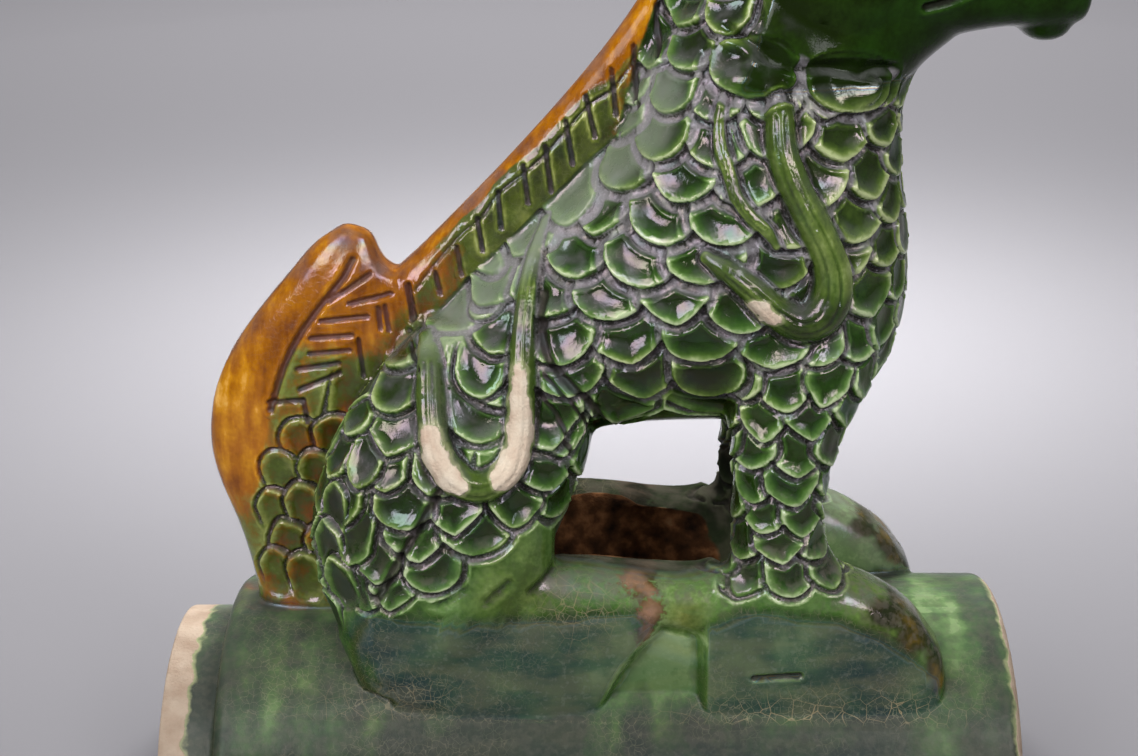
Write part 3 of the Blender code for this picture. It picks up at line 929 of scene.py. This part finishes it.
MOUTH = [(139, 263), (130, 262.5), (119, 264.5), (108, 264), (97, 259.5), (90, 258)]
CORD_STROKES = (-0.32, 0.3)
score(TAIL_SPINE, 1.3, 1.0)
for stroke in TAIL_STROKES:
    score(stroke, 1.0, 0.75)
score(HAUNCH_FOLD, 2.0, 1.3)
score(HIP_GROOVE, 1.6, 1.2)
for stroke in HIP_LEAVES:
    score(stroke, 0.8, 0.6)
for stroke in FOOT_LEAVES:
    score(stroke, 0.8, 1.4, sooty=0.4)
score(FOOT_SLIT, 1.2, 0.9)
for line in cord_lines:
    for offset in CORD_STROKES:
        along = np.gradient(line[:, [0, 2]], axis=0)
        along /= np.linalg.norm(along, axis=1)[:, None]
        beside = line[:, [0, 2]] + along[:, ::-1] * np.array([-1, 1]) * offset * line[:, 3:]
        score(beside[6:-6:3], 0.4, 0.45, sooty=0.0, per_span=3)
score(MOUTH, 1.6, 1.0)
score(JAW_LINE, 2.0, 1.4, sooty=0.25)

# The crest's line runs along each side under its rounded top, and the cuts hang from it.
CREST_LINE = [(-60, 170.5), (-53.4, 179.2), (-45.2, 188.3), (-39.3, 193.2), (-33.9, 200.6), (-25.4, 207.4)]
CREST_LINE += [(-18.7, 213.6), (-12, 221.2), (-5.9, 227.8), (1.5, 233), (8.8, 243.8)]
CREST_CUTS = [((-61.9, 172.3), (-60.3, 162)), ((-53.7, 176), (-52.3, 169.5)), ((-47, 184), (-45.5, 175.5))]
CREST_CUTS += [((-40.5, 193), (-39, 183)), ((-34.1, 201), (-33.2, 190)), ((-26.3, 209), (-24.8, 197.5))]
CREST_CUTS += [((-19.5, 215), (-17.8, 201)), ((-13.3, 222.5), (-11.3, 209.5)), ((-7.3, 230), (-4.6, 218))]
CREST_CUTS += [((0.3, 238), (1.8, 224.5)), ((6.9, 245), (7.4, 228)), ((13.5, 257), (13.5, 243))]
score(CREST_LINE, 0.9, 0.55, sooty=0.4)
for stroke in CREST_CUTS:
    score(stroke, 1.3, 0.7)

# ---- The glazed skin ---------------------------------------------------------------------------
# Two lead glazes are brushed on: green over the whole, amber on the tail and along the crest's top.
# They pool dark in every hollow and run thin and pale off every edge, and miss the clay in places.
TRIANGLES_KEPT = 195000

skin = skin + outward * relief[:, None]
move_to(body.data, skin)
soften(body, 1)
baked(body)
skin = points_of(body.data)
outward = normals_of(body.data)


def blurred(obj, rounds):
    """The object's points after so many rounds of smoothing, with its mesh left as it is."""
    soften(obj, rounds)
    graph = bpy.context.evaluated_depsgraph_get()
    mesh = obj.evaluated_get(graph).to_mesh()
    points = points_of(mesh)
    obj.evaluated_get(graph).to_mesh_clear()
    obj.modifiers.clear()
    return points


FINE_BLUR = 6
BROAD_BLUR = 60
sharp = ((skin - blurred(body, FINE_BLUR)) * outward).sum(axis=1)
broad = ((skin - blurred(body, BROAD_BLUR)) * outward).sum(axis=1)

# The amber glaze covers the tail's back edge and tip and the crest's rounded top, and fades into the
# green on the rest of the tail. The line is the middle of that fade, as (z, x).
TAIL_FADE = [(58, -120), (80, -117), (100, -113), (120, -109), (132, -106), (145, -101), (156, -96)]
TAIL_FADE += [(165, -89.5), (174, -82), (190, -70)]
LEAST_AMBER_ON_TAIL = 0.36
x, y, z = skin.T
tail_line = np.interp(z, *np.array(TAIL_FADE).T)
on_tail = smooth(13, 11.5, np.abs(y)) * smooth(-40, -46, x) * smooth(60, 64, z) * smooth(2, -1, below_crest)
tail_band = smooth(5, -5, x - tail_line) * smooth(84, 112, z)
tail_tip = smooth(130, 166, z + 0.25 * (x + 85)) * smooth(9, -9, x + 60 - 0.6 * (z - 170))
crest_depth = z - np.interp(x, *np.array(CREST_LINE).T)
crest_top = smooth(3.0, 5.6, crest_depth) + 0.45 * smooth(-6, 6, x)
crest_top = np.minimum(crest_top, 1) * smooth(0.8, -0.8, below_crest) * smooth(11, 9.5, np.abs(y))
crest_top *= smooth(165, 172, z)
amber = np.maximum(on_tail * np.maximum(np.maximum(tail_band, tail_tip), LEAST_AMBER_ON_TAIL), crest_top)

# Each value says how far a point is into a bare or dry place, in millimetres, below nought outside it.
BARE_PLACES = [((-53.6, 135.5), 3.4, 5.0), ((-52, 129.5), 4.4, 5.0), ((-48.5, 124.8), 4.4, 4.4)]
BARE_PLACES += [((-45, 122), 2.8, 2.6), ((-27.4, 151), 2.4, 5.5), ((-27, 144), 3.4, 6.5)]
BARE_PLACES += [((-26.8, 136), 4.4, 6.5), ((-28.2, 129), 4.6, 5.0), ((-31.5, 124), 4.2, 3.8)]
BARE_PLACES += [((42, 175.5), 3.2, 2.8), ((45.5, 172.6), 3.0, 2.2)]
BARE_MOST = 6.0
GLAZED_SPIGOT = 10.5
BARE_END = 2.0
BARE_BED = 2.5
RAW_PAST_BORE = 3.5
bare = np.full(len(skin), -BARE_MOST)
raised = smooth(2.2, 0.6, beside_cord)
for (at_x, at_z), half_x, half_z in BARE_PLACES:
    away = np.hypot((x - at_x) / half_x, (z - at_z) / half_z)
    bare = np.maximum(bare, (1 - away) * min(half_x, half_z) * 1.4 - BARE_MOST * (1 - raised))
radius = np.hypot(y, z)
on_tile = (radius < TILE_RADIUS + 1.5) & (z < 66)
spigot = SHOULDER_X - GLAZED_SPIGOT - x
plain_end = x - (PLAIN_END_X - BARE_END)
bed = BARE_BED - z
bare = np.maximum(bare, np.where(on_tile, np.maximum(np.maximum(spigot, plain_end), bed), -BARE_MOST))
bare = np.clip(bare, -BARE_MOST, BARE_MOST)
hollow = np.where(on_tile, TILE_BORE + RAW_PAST_BORE - radius, -BARE_MOST)
vent_reach = 1.03 - np.hypot((x - VENT_CENTRE[0]) / VENT_HALF_LENGTH, y / VENT_HALF_WIDTH)
beside_vent = 0.3 * smooth(VENT_CENTRE[0], VENT_CENTRE[0] - 12, x) * smooth(30, 24, np.abs(y))
in_vent = np.where((z < VENT_TOP) & (z > 30), (vent_reach + beside_vent) * 30, -BARE_MOST)
inside = np.clip(np.maximum(hollow, in_vent), -BARE_MOST, BARE_MOST)


def patch(places):
    """How near each point is to any of some oval places (x, z, half length, half height), on each side."""
    most = np.zeros(len(skin))
    for at_x, at_z, half_x, half_z in places:
        most = np.maximum(most, np.exp(-(((x - at_x) / half_x) ** 2) - ((z - at_z) / half_z) ** 2))
    return most * smooth(14, 22, np.abs(y))


# The feet's flat outer faces and the tile are duller, with runs down them. A red iron stain sits where
# the hind toe meets the fore heel, and the fore toe is stained olive and brown.
FOOT_EDGE = [(-75, 78), (-57, 76.8), (-40, 76), (-23, 76.1), (-6, 77.1), (8, 78.3), (15, 72), (21.4, 67)]
FOOT_EDGE += [(31.8, 74), (42.5, 78.5), (53.2, 77.5), (69.3, 75.2), (81.3, 70.4), (91.3, 64.2)]
FOOT_EDGE += [(99.5, 56.3)]
below_edge = np.interp(x, *np.array(FOOT_EDGE).T) - z
upright = smooth(0.75, 0.95, np.abs(outward[:, 1])) * smooth(39, 43, np.abs(y))
foot_side = upright * smooth(-0.9, 0.9, below_edge) * smooth(-80, -72, x)
# A painted shadow: a dark line along the crease under each foot's top band, where the band overhangs the
# flat face.
shadow_under_foot_band = upright * bump(below_edge + 1.0, 1.4) * smooth(-74, -66, x) * smooth(100, 92, x)
runs = np.maximum(foot_side, smooth(66.5, 65, radius) * smooth(80, 60, z))
heel = patch([(-74, 62, 9, 18), (-60, 52, 12, 8)])
runs = np.maximum(np.maximum(runs, heel), smooth(0, 6, x) * smooth(40, 34, x) * smooth(70, 64, z))
rust = patch([(9, 87, 8, 6), (12, 79, 6, 8), (9, 71, 5, 4)])
toe = patch([(84, 77, 10, 5), (94, 70, 9, 7), (102, 61, 7, 10), (102, 50, 3, 8)]) * ~on_tile
pale = patch([(16, 62, 13, 9), (16, 48, 12, 10), (17, 66, 8, 5)]) + 0.3 * patch([(-75, 150, 12, 14)])
pale += 0.3 * patch([(72, 190, 15, 32)])
stained = patch([(58, 45, 24, 6), (88, 46, 12, 5)]) + 0.5 * patch([(-62, 50, 16, 9), (-10, 80, 12, 10)])
# Round the vent the inward faces of the gap between the feet are darkened: dust and soot, and painted shade
# in that recess.
vent_dust_and_shade = np.where(y > 0, smooth(-1.9, -1.2, vent_reach), smooth(-1.0, -0.4, vent_reach))
vent_dust_and_shade *= smooth(60, 68, z) * smooth(112, 104, z) * smooth(50, 46, x) * smooth(-46, -40, x)
vent_dust_and_shade *= smooth(0.9, 0.5, outward[:, 1] * np.sign(y))
tail_roots = 0.5 * on_tail * groove * smooth(170, 150, z)
# Darker glaze at the heel, in the tail's lower grooves and on the crest's sides, and the painted shadow
# under the foot band.
dark_glaze_and_painted_shadow = np.maximum(np.maximum(shadow_under_foot_band, heel), tail_roots + 0.25 * on_crest)
olive = np.maximum(np.maximum(on_crest, on_tail), 0.55 * on_cord)
olive = np.maximum(olive, 0.5 * smooth(38, 52, x) * smooth(168, 185, z) * smooth(246, 234, z))
olive = np.maximum(olive, patch([(23, 77, 6, 6)]))
# A painted pale sheen on the far foot's top, where it catches the light, laid on with the slip wash.
far_foot_painted_sheen = 0.8 * smooth(14, 18, y) * smooth(44, 50, x) * smooth(90, 84, z) * ~on_tile

# What the glaze reads at each point of the skin.
FINISHES = {
    "pool": np.clip(pool, 0, 1) * (1 - 0.75 * on_tail),
    "groove": np.clip(groove, 0, 1) * (1 - 0.3 * on_tail),
    "scored": np.clip(scored, 0, 1),
    "sharp": sharp * (1 - 0.6 * np.clip(np.maximum(np.maximum(on_tail, amber), runs), 0, 1)),
    "broad": broad,
    "amber": amber,
    "bare": bare,
    "inside": inside,
    "dull": foot_side,
    "runs": runs,
    "rust": rust,
    "toe": toe,
    "pale": np.clip(pale, 0, 1),
    "olive": olive,
    # deep: thick dark glaze on the head, and painted shade on the surfaces that face down
    "head_glaze_and_underside_shade": np.maximum(1.2 * on_head, 0.5 * smooth(0.3, -0.3, outward[:, 2] + 0.9)),
    # washed: the slip wash beside the crest, and a painted sheen on the far foot's top
    "slip_and_sheen": np.maximum(beside_crest, far_foot_painted_sheen),
    # sooty: dust and soot round the vent, and painted shade on the inward faces of the recess between the
    # feet
    "sooty": np.clip(vent_dust_and_shade, 0, 1),
    # line: darker glaze at the heel, the tail's lower grooves and the crest's sides, and a painted shadow
    # under the foot band
    "line": dark_glaze_and_painted_shadow,
    "stained": np.clip(stained, 0, 1),
}
for name, values in FINISHES.items():
    body.data.attributes.new(name, "FLOAT", "POINT").data.foreach_set("value", values.astype(np.float32))
triangles = sum(len(face.vertices) - 2 for face in body.data.polygons)
thin = body.modifiers.new("thinned", "DECIMATE")
thin.ratio = min(1.0, TRIANGLES_KEPT / triangles)
thin.use_collapse_triangulate = True
baked(body)
body.data.transform(Matrix.Translation((MARK * MM, 0, 0)) @ Matrix.Diagonal((MM, MM, MM, 1)))
body.data.shade_smooth()
body.data.materials.clear()
body.data.materials.append(glaze)
glaze.use_nodes = True
kiln = glaze.node_tree
shader = kiln.nodes["Principled BSDF"]


def put(socket, value):
    """Joins a socket to another node's output, or sets it to a plain number or colour."""
    if isinstance(value, bpy.types.NodeSocket):
        kiln.links.new(value, socket)
    else:
        socket.default_value = value


def sum_of(operation, *terms, clamp=False):
    made = kiln.nodes.new("ShaderNodeMath")
    made.operation = operation
    made.use_clamp = clamp
    for socket, term in zip(made.inputs, terms):
        put(socket, term)
    return made.outputs["Value"]


def times(a, b):
    return sum_of("MULTIPLY", a, b)


def plus(a, *others):
    for other in others:
        a = sum_of("ADD", a, other)
    return a


def swing(pattern, amount):
    """A pattern's swing to either side of its middle, 0.5, times an amount."""
    return times(plus(pattern, -0.5), amount)


def all_but(value, share=1.0):
    """1 less a share of the value."""
    return plus(1.0, times(value, -share))


def shared(start, *shares):
    """The start with a share of each value added to it: (value, share) each."""
    for value, share in shares:
        start = plus(start, times(value, share))
    return start


def eased(value, low, high):
    """0 where the value is low and 1 where it is high, with an easy slope between."""
    made = kiln.nodes.new("ShaderNodeMapRange")
    made.interpolation_type = "SMOOTHSTEP"
    put(made.inputs["Value"], value)
    made.inputs["From Min"].default_value = low
    made.inputs["From Max"].default_value = high
    return made.outputs["Result"]


def stored(name):
    made = kiln.nodes.new("ShaderNodeAttribute")
    made.attribute_name = name
    return made.outputs["Fac"]


def shade(red, green, blue):
    """A colour off the glaze card, given in 255ths."""
    parts = [c / 255 for c in (red, green, blue)]
    return *[c / 12.92 if c <= 0.04045 else ((c + 0.055) / 1.055) ** 2.4 for c in parts], 1.0


def colours(value, *stops):
    """A run of colours along a value: (where, red, green, blue) each."""
    made = kiln.nodes.new("ShaderNodeValToRGB")
    band = made.color_ramp
    while len(band.elements) < len(stops):
        band.elements.new(0.5)
    for element, (where, red, green, blue) in zip(band.elements, stops):
        element.position = where
        element.color = shade(red, green, blue)
    put(made.inputs["Fac"], value)
    return made.outputs["Color"]


def laid_over(amount, under, over):
    made = kiln.nodes.new("ShaderNodeMix")
    made.data_type = "RGBA"
    put(made.inputs["Factor"], amount)
    put(made.inputs["A"], under)
    put(made.inputs["B"], over)
    return made.outputs["Result"]


def coated(under, *coats):
    """Coats laid over a colour one after another: (how much, colour) each."""
    for amount, coat in coats:
        under = laid_over(amount, under, coat)
    return under


in_mm = kiln.nodes.new("ShaderNodeVectorMath")
in_mm.operation = "SCALE"
in_mm.inputs["Scale"].default_value = 1 / MM
kiln.links.new(kiln.nodes.new("ShaderNodeTexCoord").outputs["Object"], in_mm.inputs["Vector"])
in_mm = in_mm.outputs["Vector"]


def cloud(size, detail=2.0, stretch=(1, 1, 1), offset=(0, 0, 0)):
    """Soft random patches about so many millimetres across, 0 to 1 round 0.5."""
    place = kiln.nodes.new("ShaderNodeMapping")
    place.inputs["Location"].default_value = offset
    place.inputs["Scale"].default_value = [1 / (size * part) for part in stretch]
    made = kiln.nodes.new("ShaderNodeTexNoise")
    made.inputs["Scale"].default_value = 1.0
    made.inputs["Detail"].default_value = detail
    kiln.links.new(in_mm, place.inputs["Vector"])
    kiln.links.new(place.outputs["Vector"], made.inputs["Vector"])
    return made.outputs["Fac"]


def crackle(size, wander):
    """The distance to the nearest crack of a network with cells of that many millimetres."""
    bend = kiln.nodes.new("ShaderNodeTexNoise")
    bend.inputs["Scale"].default_value = 1 / (1.6 * size)
    push = kiln.nodes.new("ShaderNodeVectorMath")
    push.operation = "MULTIPLY_ADD"
    push.inputs[1].default_value = (wander, wander, wander)
    cells = kiln.nodes.new("ShaderNodeTexVoronoi")
    cells.feature = "DISTANCE_TO_EDGE"
    cells.inputs["Scale"].default_value = 1 / size
    kiln.links.new(in_mm, bend.inputs["Vector"])
    kiln.links.new(bend.outputs["Color"], push.inputs[0])
    kiln.links.new(in_mm, push.inputs[2])
    kiln.links.new(push.outputs["Vector"], cells.inputs["Vector"])
    return times(cells.outputs["Distance"], size)


facing_up = kiln.nodes.new("ShaderNodeSeparateXYZ")
kiln.links.new(kiln.nodes.new("ShaderNodeNewGeometry").outputs["Normal"], facing_up.inputs["Vector"])
facing_up = facing_up.outputs["Z"]
from_bed = kiln.nodes.new("ShaderNodeSeparateXYZ")
kiln.links.new(in_mm, from_bed.inputs["Vector"])
from_bed = from_bed.outputs["Z"]
runs_down = stored("runs")
dull = stored("dull")
edge = stored("sharp")
in_groove = stored("groove")
streak = cloud(7, 3, stretch=(1, 1, 9))
drift = cloud(45, 2)
mottle = cloud(9, 3, offset=(3, 1, 7))
speck = cloud(1.4, 2)

# How thick the glaze lies, 0 to 1, and the colour of each glaze at (thickness, red, green, blue).
GREEN_GLAZE = [(0.0, 176, 192, 148), (0.14, 136, 160, 106), (0.3, 86, 119, 58), (0.5, 54, 86, 30)]
GREEN_GLAZE += [(0.75, 31, 58, 14), (1.0, 22, 38, 7)]
OLIVE_GLAZE = [(0.0, 172, 178, 116), (0.25, 118, 126, 60), (0.45, 74, 86, 28), (0.7, 42, 50, 15)]
OLIVE_GLAZE += [(1.0, 22, 26, 9)]
AMBER_GLAZE = [(0.0, 222, 168, 80), (0.18, 188, 126, 14), (0.4, 154, 92, 4), (0.68, 114, 60, 4)]
AMBER_GLAZE += [(1.0, 60, 32, 8)]
TOE_STAIN = [(0.42, 18, 16, 6), (0.56, 48, 38, 8), (0.7, 104, 80, 16)]
IRON_STAIN = [(0.38, 48, 26, 16), (0.52, 94, 54, 36), (0.68, 152, 110, 90)]
# The slip wash's grey-green, also painted on the far foot's top as a sheen.
SLIP_AND_SHEEN_GREY = shade(136, 146, 126)

# The head's thick glaze, with painted shade on the undersides.
head_glaze_and_underside_shade = stored("head_glaze_and_underside_shade")
slip_and_sheen = stored("slip_and_sheen")
thin_edge = shared(-0.45, (eased(cloud(11, 3, offset=(2, 2, 9)), 0.38, 0.62), -0.95))
low_on_tile = shared(0.27, (eased(from_bed, 55.0, 28.0), 0.5))
streaky = times(runs_down, all_but(dull, 0.7))
long_streak = cloud(16, 2, stretch=(1, 7, 9), offset=(6, 1, 1))
# The thickness also carries painted shade: on the undersides, and in a painted shadow along the crease
# under each foot's top band.
thick = shared(0.4, (head_glaze_and_underside_shade, 0.42), (stored("pool"), 0.52), (edge, thin_edge), (stored("broad"), -0.1))
thick = shared(thick, (stored("line"), 0.45), (slip_and_sheen, -0.1))
thick = shared(thick, (shared(runs_down, (dull, -0.6)), low_on_tile))
thick = plus(thick, swing(mottle, 0.65), swing(drift, 0.5), swing(speck, 0.22))
thick = shared(thick, (swing(streak, streaky), 0.9), (stored("pale"), -0.75))
thick = shared(thick, (swing(long_streak, streaky), 1.7))
least_on_tile = shared(0.24, (eased(from_bed, 60.0, 40.0), 0.14))
thick = sum_of("MAXIMUM", thick, times(runs_down, least_on_tile))
to_olive = sum_of("MAXIMUM", times(eased(drift, 0.45, 0.7), 0.5), stored("olive"))
green = laid_over(to_olive, colours(thick, *GREEN_GLAZE), colours(thick, *OLIVE_GLAZE))
grained = plus(thick, swing(cloud(4, 4, stretch=(1, 1, 4), offset=(4, 4, 4)), 0.9))
where_gold = eased(plus(stored("amber"), swing(mottle, 1.1), swing(speck, 0.3)), 0.28, 0.72)
where_rust = eased(plus(stored("rust"), swing(speck, 1.0), swing(mottle, 0.6)), 0.45, 0.8)
where_toe = eased(plus(stored("toe"), swing(mottle, 0.7)), 0.35, 0.75)
colour = coated(
    green,
    (where_gold, colours(grained, *AMBER_GLAZE)),
    # The slip wash beside the crest, and a painted sheen on the far foot's top.
    (times(slip_and_sheen, 0.5), SLIP_AND_SHEEN_GREY),
    (times(where_toe, 0.9), colours(mottle, *TOE_STAIN)),
    (times(where_rust, 0.8), colours(mottle, *IRON_STAIN)),
)

# Soot and dust stay in the grooves, in painted shade low down and with a painted lilac reflection high up,
# and a painted shadow darkens each crease; a thin film of dust, with a painted sheen, lies on what faces
# up.
LOW_GROOVE_SOOT_IN_SHADE = shade(54, 54, 53)
HIGH_GROOVE_DUST_AND_SHEEN = shade(130, 125, 130)
CREASE_SHADOW = shade(34, 34, 30)
PALE_GRAIN = shade(176, 170, 176)
AMBER_GRIME = shade(92, 44, 12)
DUST_AND_SHEEN_GREY = shade(150, 148, 152)
GRIT = shade(96, 90, 80)
DARK_FLAT = shade(46, 58, 68)
LIGHT_FLAT = shade(86, 86, 80)
FLAT_SPECK = shade(120, 124, 116)
CUT_IN_GREEN = shade(24, 26, 15)
CUT_IN_AMBER = shade(74, 34, 8)
# Dust and soot by the vent, darkened as painted shade in the recess.
VENT_SOOT_IN_SHADE = shade(26, 26, 22)
VENT_DUST_IN_SHADE = shade(60, 56, 48)

# The grooves' dirt: darker low down as painted shade, paler and lilac high up as painted reflection, with a
# painted shadow in the creases.
groove_dirt_and_shade = coated(
    laid_over(eased(from_bed, 110.0, 210.0), LOW_GROOVE_SOOT_IN_SHADE, HIGH_GROOVE_DUST_AND_SHEEN),
    (eased(edge, -0.04, -0.22), CREASE_SHADOW),
    (times(eased(cloud(0.7, 2), 0.5, 0.65), 0.3), PALE_GRAIN),
    (where_gold, AMBER_GRIME),
)
# A pale film on what faces up: partly dust, partly a painted sheen where the surface faces the light.
dust_and_sheen_patches = shared(times(eased(mottle, 0.35, 0.7), all_but(runs_down)), (runs_down, 0.5))
stain = sum_of("MAXIMUM", where_toe, where_rust)
dust_and_sheen_film = times(times(eased(facing_up, 0.1, 0.8), dust_and_sheen_patches), all_but(stain))
low_and_flat = times(eased(facing_up, 0.0, 0.5), eased(from_bed, 112.0, 96.0))
grit = times(low_and_flat, eased(cloud(2.4, 4, offset=(8, 2, 2)), 0.4, 0.62))
smudge = cloud(7, 4, stretch=(3, 1, 1), offset=(1, 7, 3))
flat_grey = laid_over(eased(smudge, 0.38, 0.62), DARK_FLAT, LIGHT_FLAT)
flat_grey = laid_over(times(eased(speck, 0.5, 0.75), 0.4), flat_grey, FLAT_SPECK)
in_cut = eased(plus(stored("scored"), swing(speck, 0.3)), 0.15, 0.6)
# Dark dust and soot by the vent, with painted shade in the recess.
vent_dust_and_shade = stored("sooty")
colour = coated(
    colour,
    (times(eased(in_groove, 0.25, 0.75), 0.8), groove_dirt_and_shade),
    (times(dust_and_sheen_film, 0.22), DUST_AND_SHEEN_GREY),
    (times(grit, shared(0.45, (runs_down, -0.25))), GRIT),
    (shared(times(dull, 0.54), (runs_down, 0.1)), flat_grey),
    (times(in_cut, 0.9), laid_over(where_gold, CUT_IN_GREEN, CUT_IN_AMBER)),
    (times(vent_dust_and_shade, 0.92), laid_over(eased(mottle, 0.4, 0.65), VENT_SOOT_IN_SHADE, VENT_DUST_IN_SHADE)),
)

# The glaze is crazed all over, and the cracks are stained pale where mortar has stood against the tile.
FINE_CRACK_STAIN = shade(164, 156, 128)
LONG_CRACK_STAIN = shade(172, 152, 118)
crack = crackle(2.2, 2.5)
long_crack = crackle(5.0, 1.6)
low_down = times(eased(cloud(24, 3), 0.45, 0.65), runs_down)
below_foot = stored("stained")
fine_stain = shared(times(low_down, 0.12), (below_foot, 0.3), (stored("line"), 0.2))
colour = coated(
    colour,
    (times(eased(crack, 0.09, 0.03), fine_stain), FINE_CRACK_STAIN),
    (times(eased(long_crack, 0.13, 0.05), times(below_foot, 0.6)), LONG_CRACK_STAIN),
)

# Bare clay shows where the glaze missed or ran thin, and the inside is raw, brown and sooty.
BARE_CLAY = [(0.3, 186, 162, 142), (0.55, 206, 190, 170), (0.75, 214, 200, 182)]
RAW_CLAY = [(0.32, 24, 15, 9), (0.5, 66, 42, 25), (0.62, 104, 70, 44), (0.8, 132, 102, 74)]
THIN_GLAZE = shade(170, 172, 128)
DIRTY_CLAY = shade(120, 98, 82)
WIPED_CLAY = shade(152, 134, 118)
raw = plus(stored("bare"), swing(cloud(5, 3), 5.0))
where_bare = eased(raw, -0.25, 0.35)
clay = colours(cloud(6, 4, offset=(9, 2, 4)), *BARE_CLAY)
spigot_clay = laid_over(eased(mottle, 0.3, 0.7), DIRTY_CLAY, WIPED_CLAY)
where_inside = eased(plus(stored("inside"), swing(mottle, 3.0)), -0.3, 0.5)
colour = coated(
    colour,
    (times(eased(raw, -1.6, -0.1), 0.5), THIN_GLAZE),
    (where_bare, laid_over(times(runs_down, 0.75), clay, spigot_clay)),
    (where_inside, colours(cloud(7, 5, offset=(5, 5, 1)), *RAW_CLAY)),
)
put(shader.inputs["Base Color"], colour)

# Glaze is glossy with a thin iridescent film, and duller on the head, the tile and worn or dry places.
GLAZE_ROUGHNESS = 0.1
CLAY_ROUGHNESS = 0.82
GLAZE_IOR = 1.6
FULL_GLOSS = 0.5
FILM_IOR = 1.55
FILM_LEAST = 280.0
FILM_SPREAD = 300.0
dry = sum_of("MAXIMUM", where_bare, where_inside)
rough = shared(GLAZE_ROUGHNESS, (speck, 0.08), (dust_and_sheen_film, 0.14), (dull, 0.2), (in_groove, 0.22))
rough = shared(rough, (vent_dust_and_shade, 0.65), (in_cut, 0.4), (eased(mottle, 0.5, 0.75), 0.12))
rough = shared(rough, (runs_down, 0.12), (slip_and_sheen, 0.12))
put(shader.inputs["Roughness"], shared(times(rough, all_but(dry)), (dry, CLAY_ROUGHNESS)))
shader.inputs["IOR"].default_value = GLAZE_IOR
worn_crest = times(where_gold, eased(from_bed, 176.0, 194.0))
duller = shared(times(head_glaze_and_underside_shade, 0.36), (runs_down, 0.41), (vent_dust_and_shade, 0.46), (worn_crest, 0.36))
put(shader.inputs["Specular IOR Level"], sum_of("SUBTRACT", FULL_GLOSS, duller, clamp=True))
shader.inputs["Thin Film IOR"].default_value = FILM_IOR
film_depth = shared(FILM_LEAST, (cloud(9, 2, offset=(2, 8, 3)), FILM_SPREAD))
with_film = sum_of("SUBTRACT", 1.0, plus(head_glaze_and_underside_shade, runs_down, vent_dust_and_shade, dry, worn_crest), clamp=True)
put(shader.inputs["Thin Film Thickness"], times(film_depth, with_film))

peel = times(plus(cloud(3.2, 1), cloud(1.1, 2)), 0.05)
grain = times(times(cloud(0.9, 4), dry), 0.35)
height = shared(plus(peel, grain), (eased(crack, 0.14, 0.0), -0.008))
relief_map = kiln.nodes.new("ShaderNodeBump")
relief_map.inputs["Distance"].default_value = MM
relief_map.inputs["Strength"].default_value = 1.0
put(relief_map.inputs["Height"], height)
put(shader.inputs["Normal"], relief_map.outputs["Normal"])
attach(body, "root")
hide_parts("ridge_beast_tile")

# ---- The studio --------------------------------------------------------------------------------
# A pale paper floor and soft boxes: a large one to the left and a smaller one to the right of the lens,
# one overhead and a ceiling of them, and two behind that only brighten the paper and so aren't mirrored in
# the glaze. The lens looks down on the tile from a standing viewer's height.
SWEEP_COLOUR = (0.154, 0.15, 0.16, 1.0)
FOCAL_LENGTH = 60.1
SENSOR_WIDTH = 36.0
LENS_PLACE = (-0.00415, -0.569, 0.338)
LENS_PITCH = 19.3
LENS_YAW = -0.8
LENS_ROLL = 0.4
LENS_NEAREST = 0.01
ROOM_COLOUR = (0.8, 0.8, 0.84, 1)
ROOM_LIGHT = 0.15

sweep = bmesh.new()
bmesh.ops.create_grid(sweep, x_segments=1, y_segments=1, size=12.0)
floor = object_from("floor", sweep)
floor.data.materials.append(bpy.data.materials.new("pale_paper"))
floor.data.materials[0].use_nodes = True
paper = floor.data.materials[0].node_tree.nodes["Principled BSDF"]
paper.inputs["Base Color"].default_value = SWEEP_COLOUR
paper.inputs["Roughness"].default_value = 0.9


def soft_box(name, place, target, size, power, mirrored=True):
    lamp = bpy.data.lights.new(name, "AREA")
    lamp.shape = "RECTANGLE"
    lamp.size = size[0]
    lamp.size_y = size[1]
    lamp.energy = power
    made = object_of(name, lamp)
    made.location = place
    made.rotation_euler = (Vector(target) - Vector(place)).to_track_quat("-Z", "Y").to_euler()
    made.visible_glossy = mirrored
    return made


soft_box("key", (-0.6, -0.8, 0.74), (0, 0, 0.17), (0.56, 0.7), 11.0)
soft_box("right_window", (0.52, -0.8, 0.75), (0, 0, 0.15), (0.34, 0.46), 5.5)
soft_box("ceiling", (0, 0.5, 3.5), (0, 0.501, 0), (8, 8), 110, mirrored=False)
soft_box("overhead", (-0.1, 0.3, 1.1), (0, 0.1, 0.1), (0.9, 0.6), 1.0, mirrored=False)
soft_box("behind", (0.02, 0.46, 0.44), (0.02, 0.5, 0.0), (0.3, 0.2), 9.4, mirrored=False)
soft_box("far_behind", (0.0, 1.7, 1.4), (0.0, 1.75, 0.0), (1.8, 0.8), 53, mirrored=False)
world = bpy.data.worlds.new("room")
bpy.context.scene.world = world
world.use_nodes = True
sky = world.node_tree.nodes["Background"]
sky.inputs["Color"].default_value = ROOM_COLOUR
sky.inputs["Strength"].default_value = ROOM_LIGHT
bpy.context.scene.view_settings.view_transform = "Standard"

lens = bpy.data.cameras.new("camera")
lens.lens = FOCAL_LENGTH
lens.sensor_width = SENSOR_WIDTH
lens.clip_start = LENS_NEAREST
camera = object_of("camera", lens)
headed = Matrix.Rotation(math.radians(-LENS_YAW), 4, "Z")
aimed = headed @ Matrix.Rotation(math.radians(90 - LENS_PITCH), 4, "X")
rolled = Matrix.Rotation(math.radians(-LENS_ROLL), 4, "Z")
camera.matrix_world = Matrix.Translation(LENS_PLACE) @ aimed @ rolled
bpy.context.scene.camera = camera
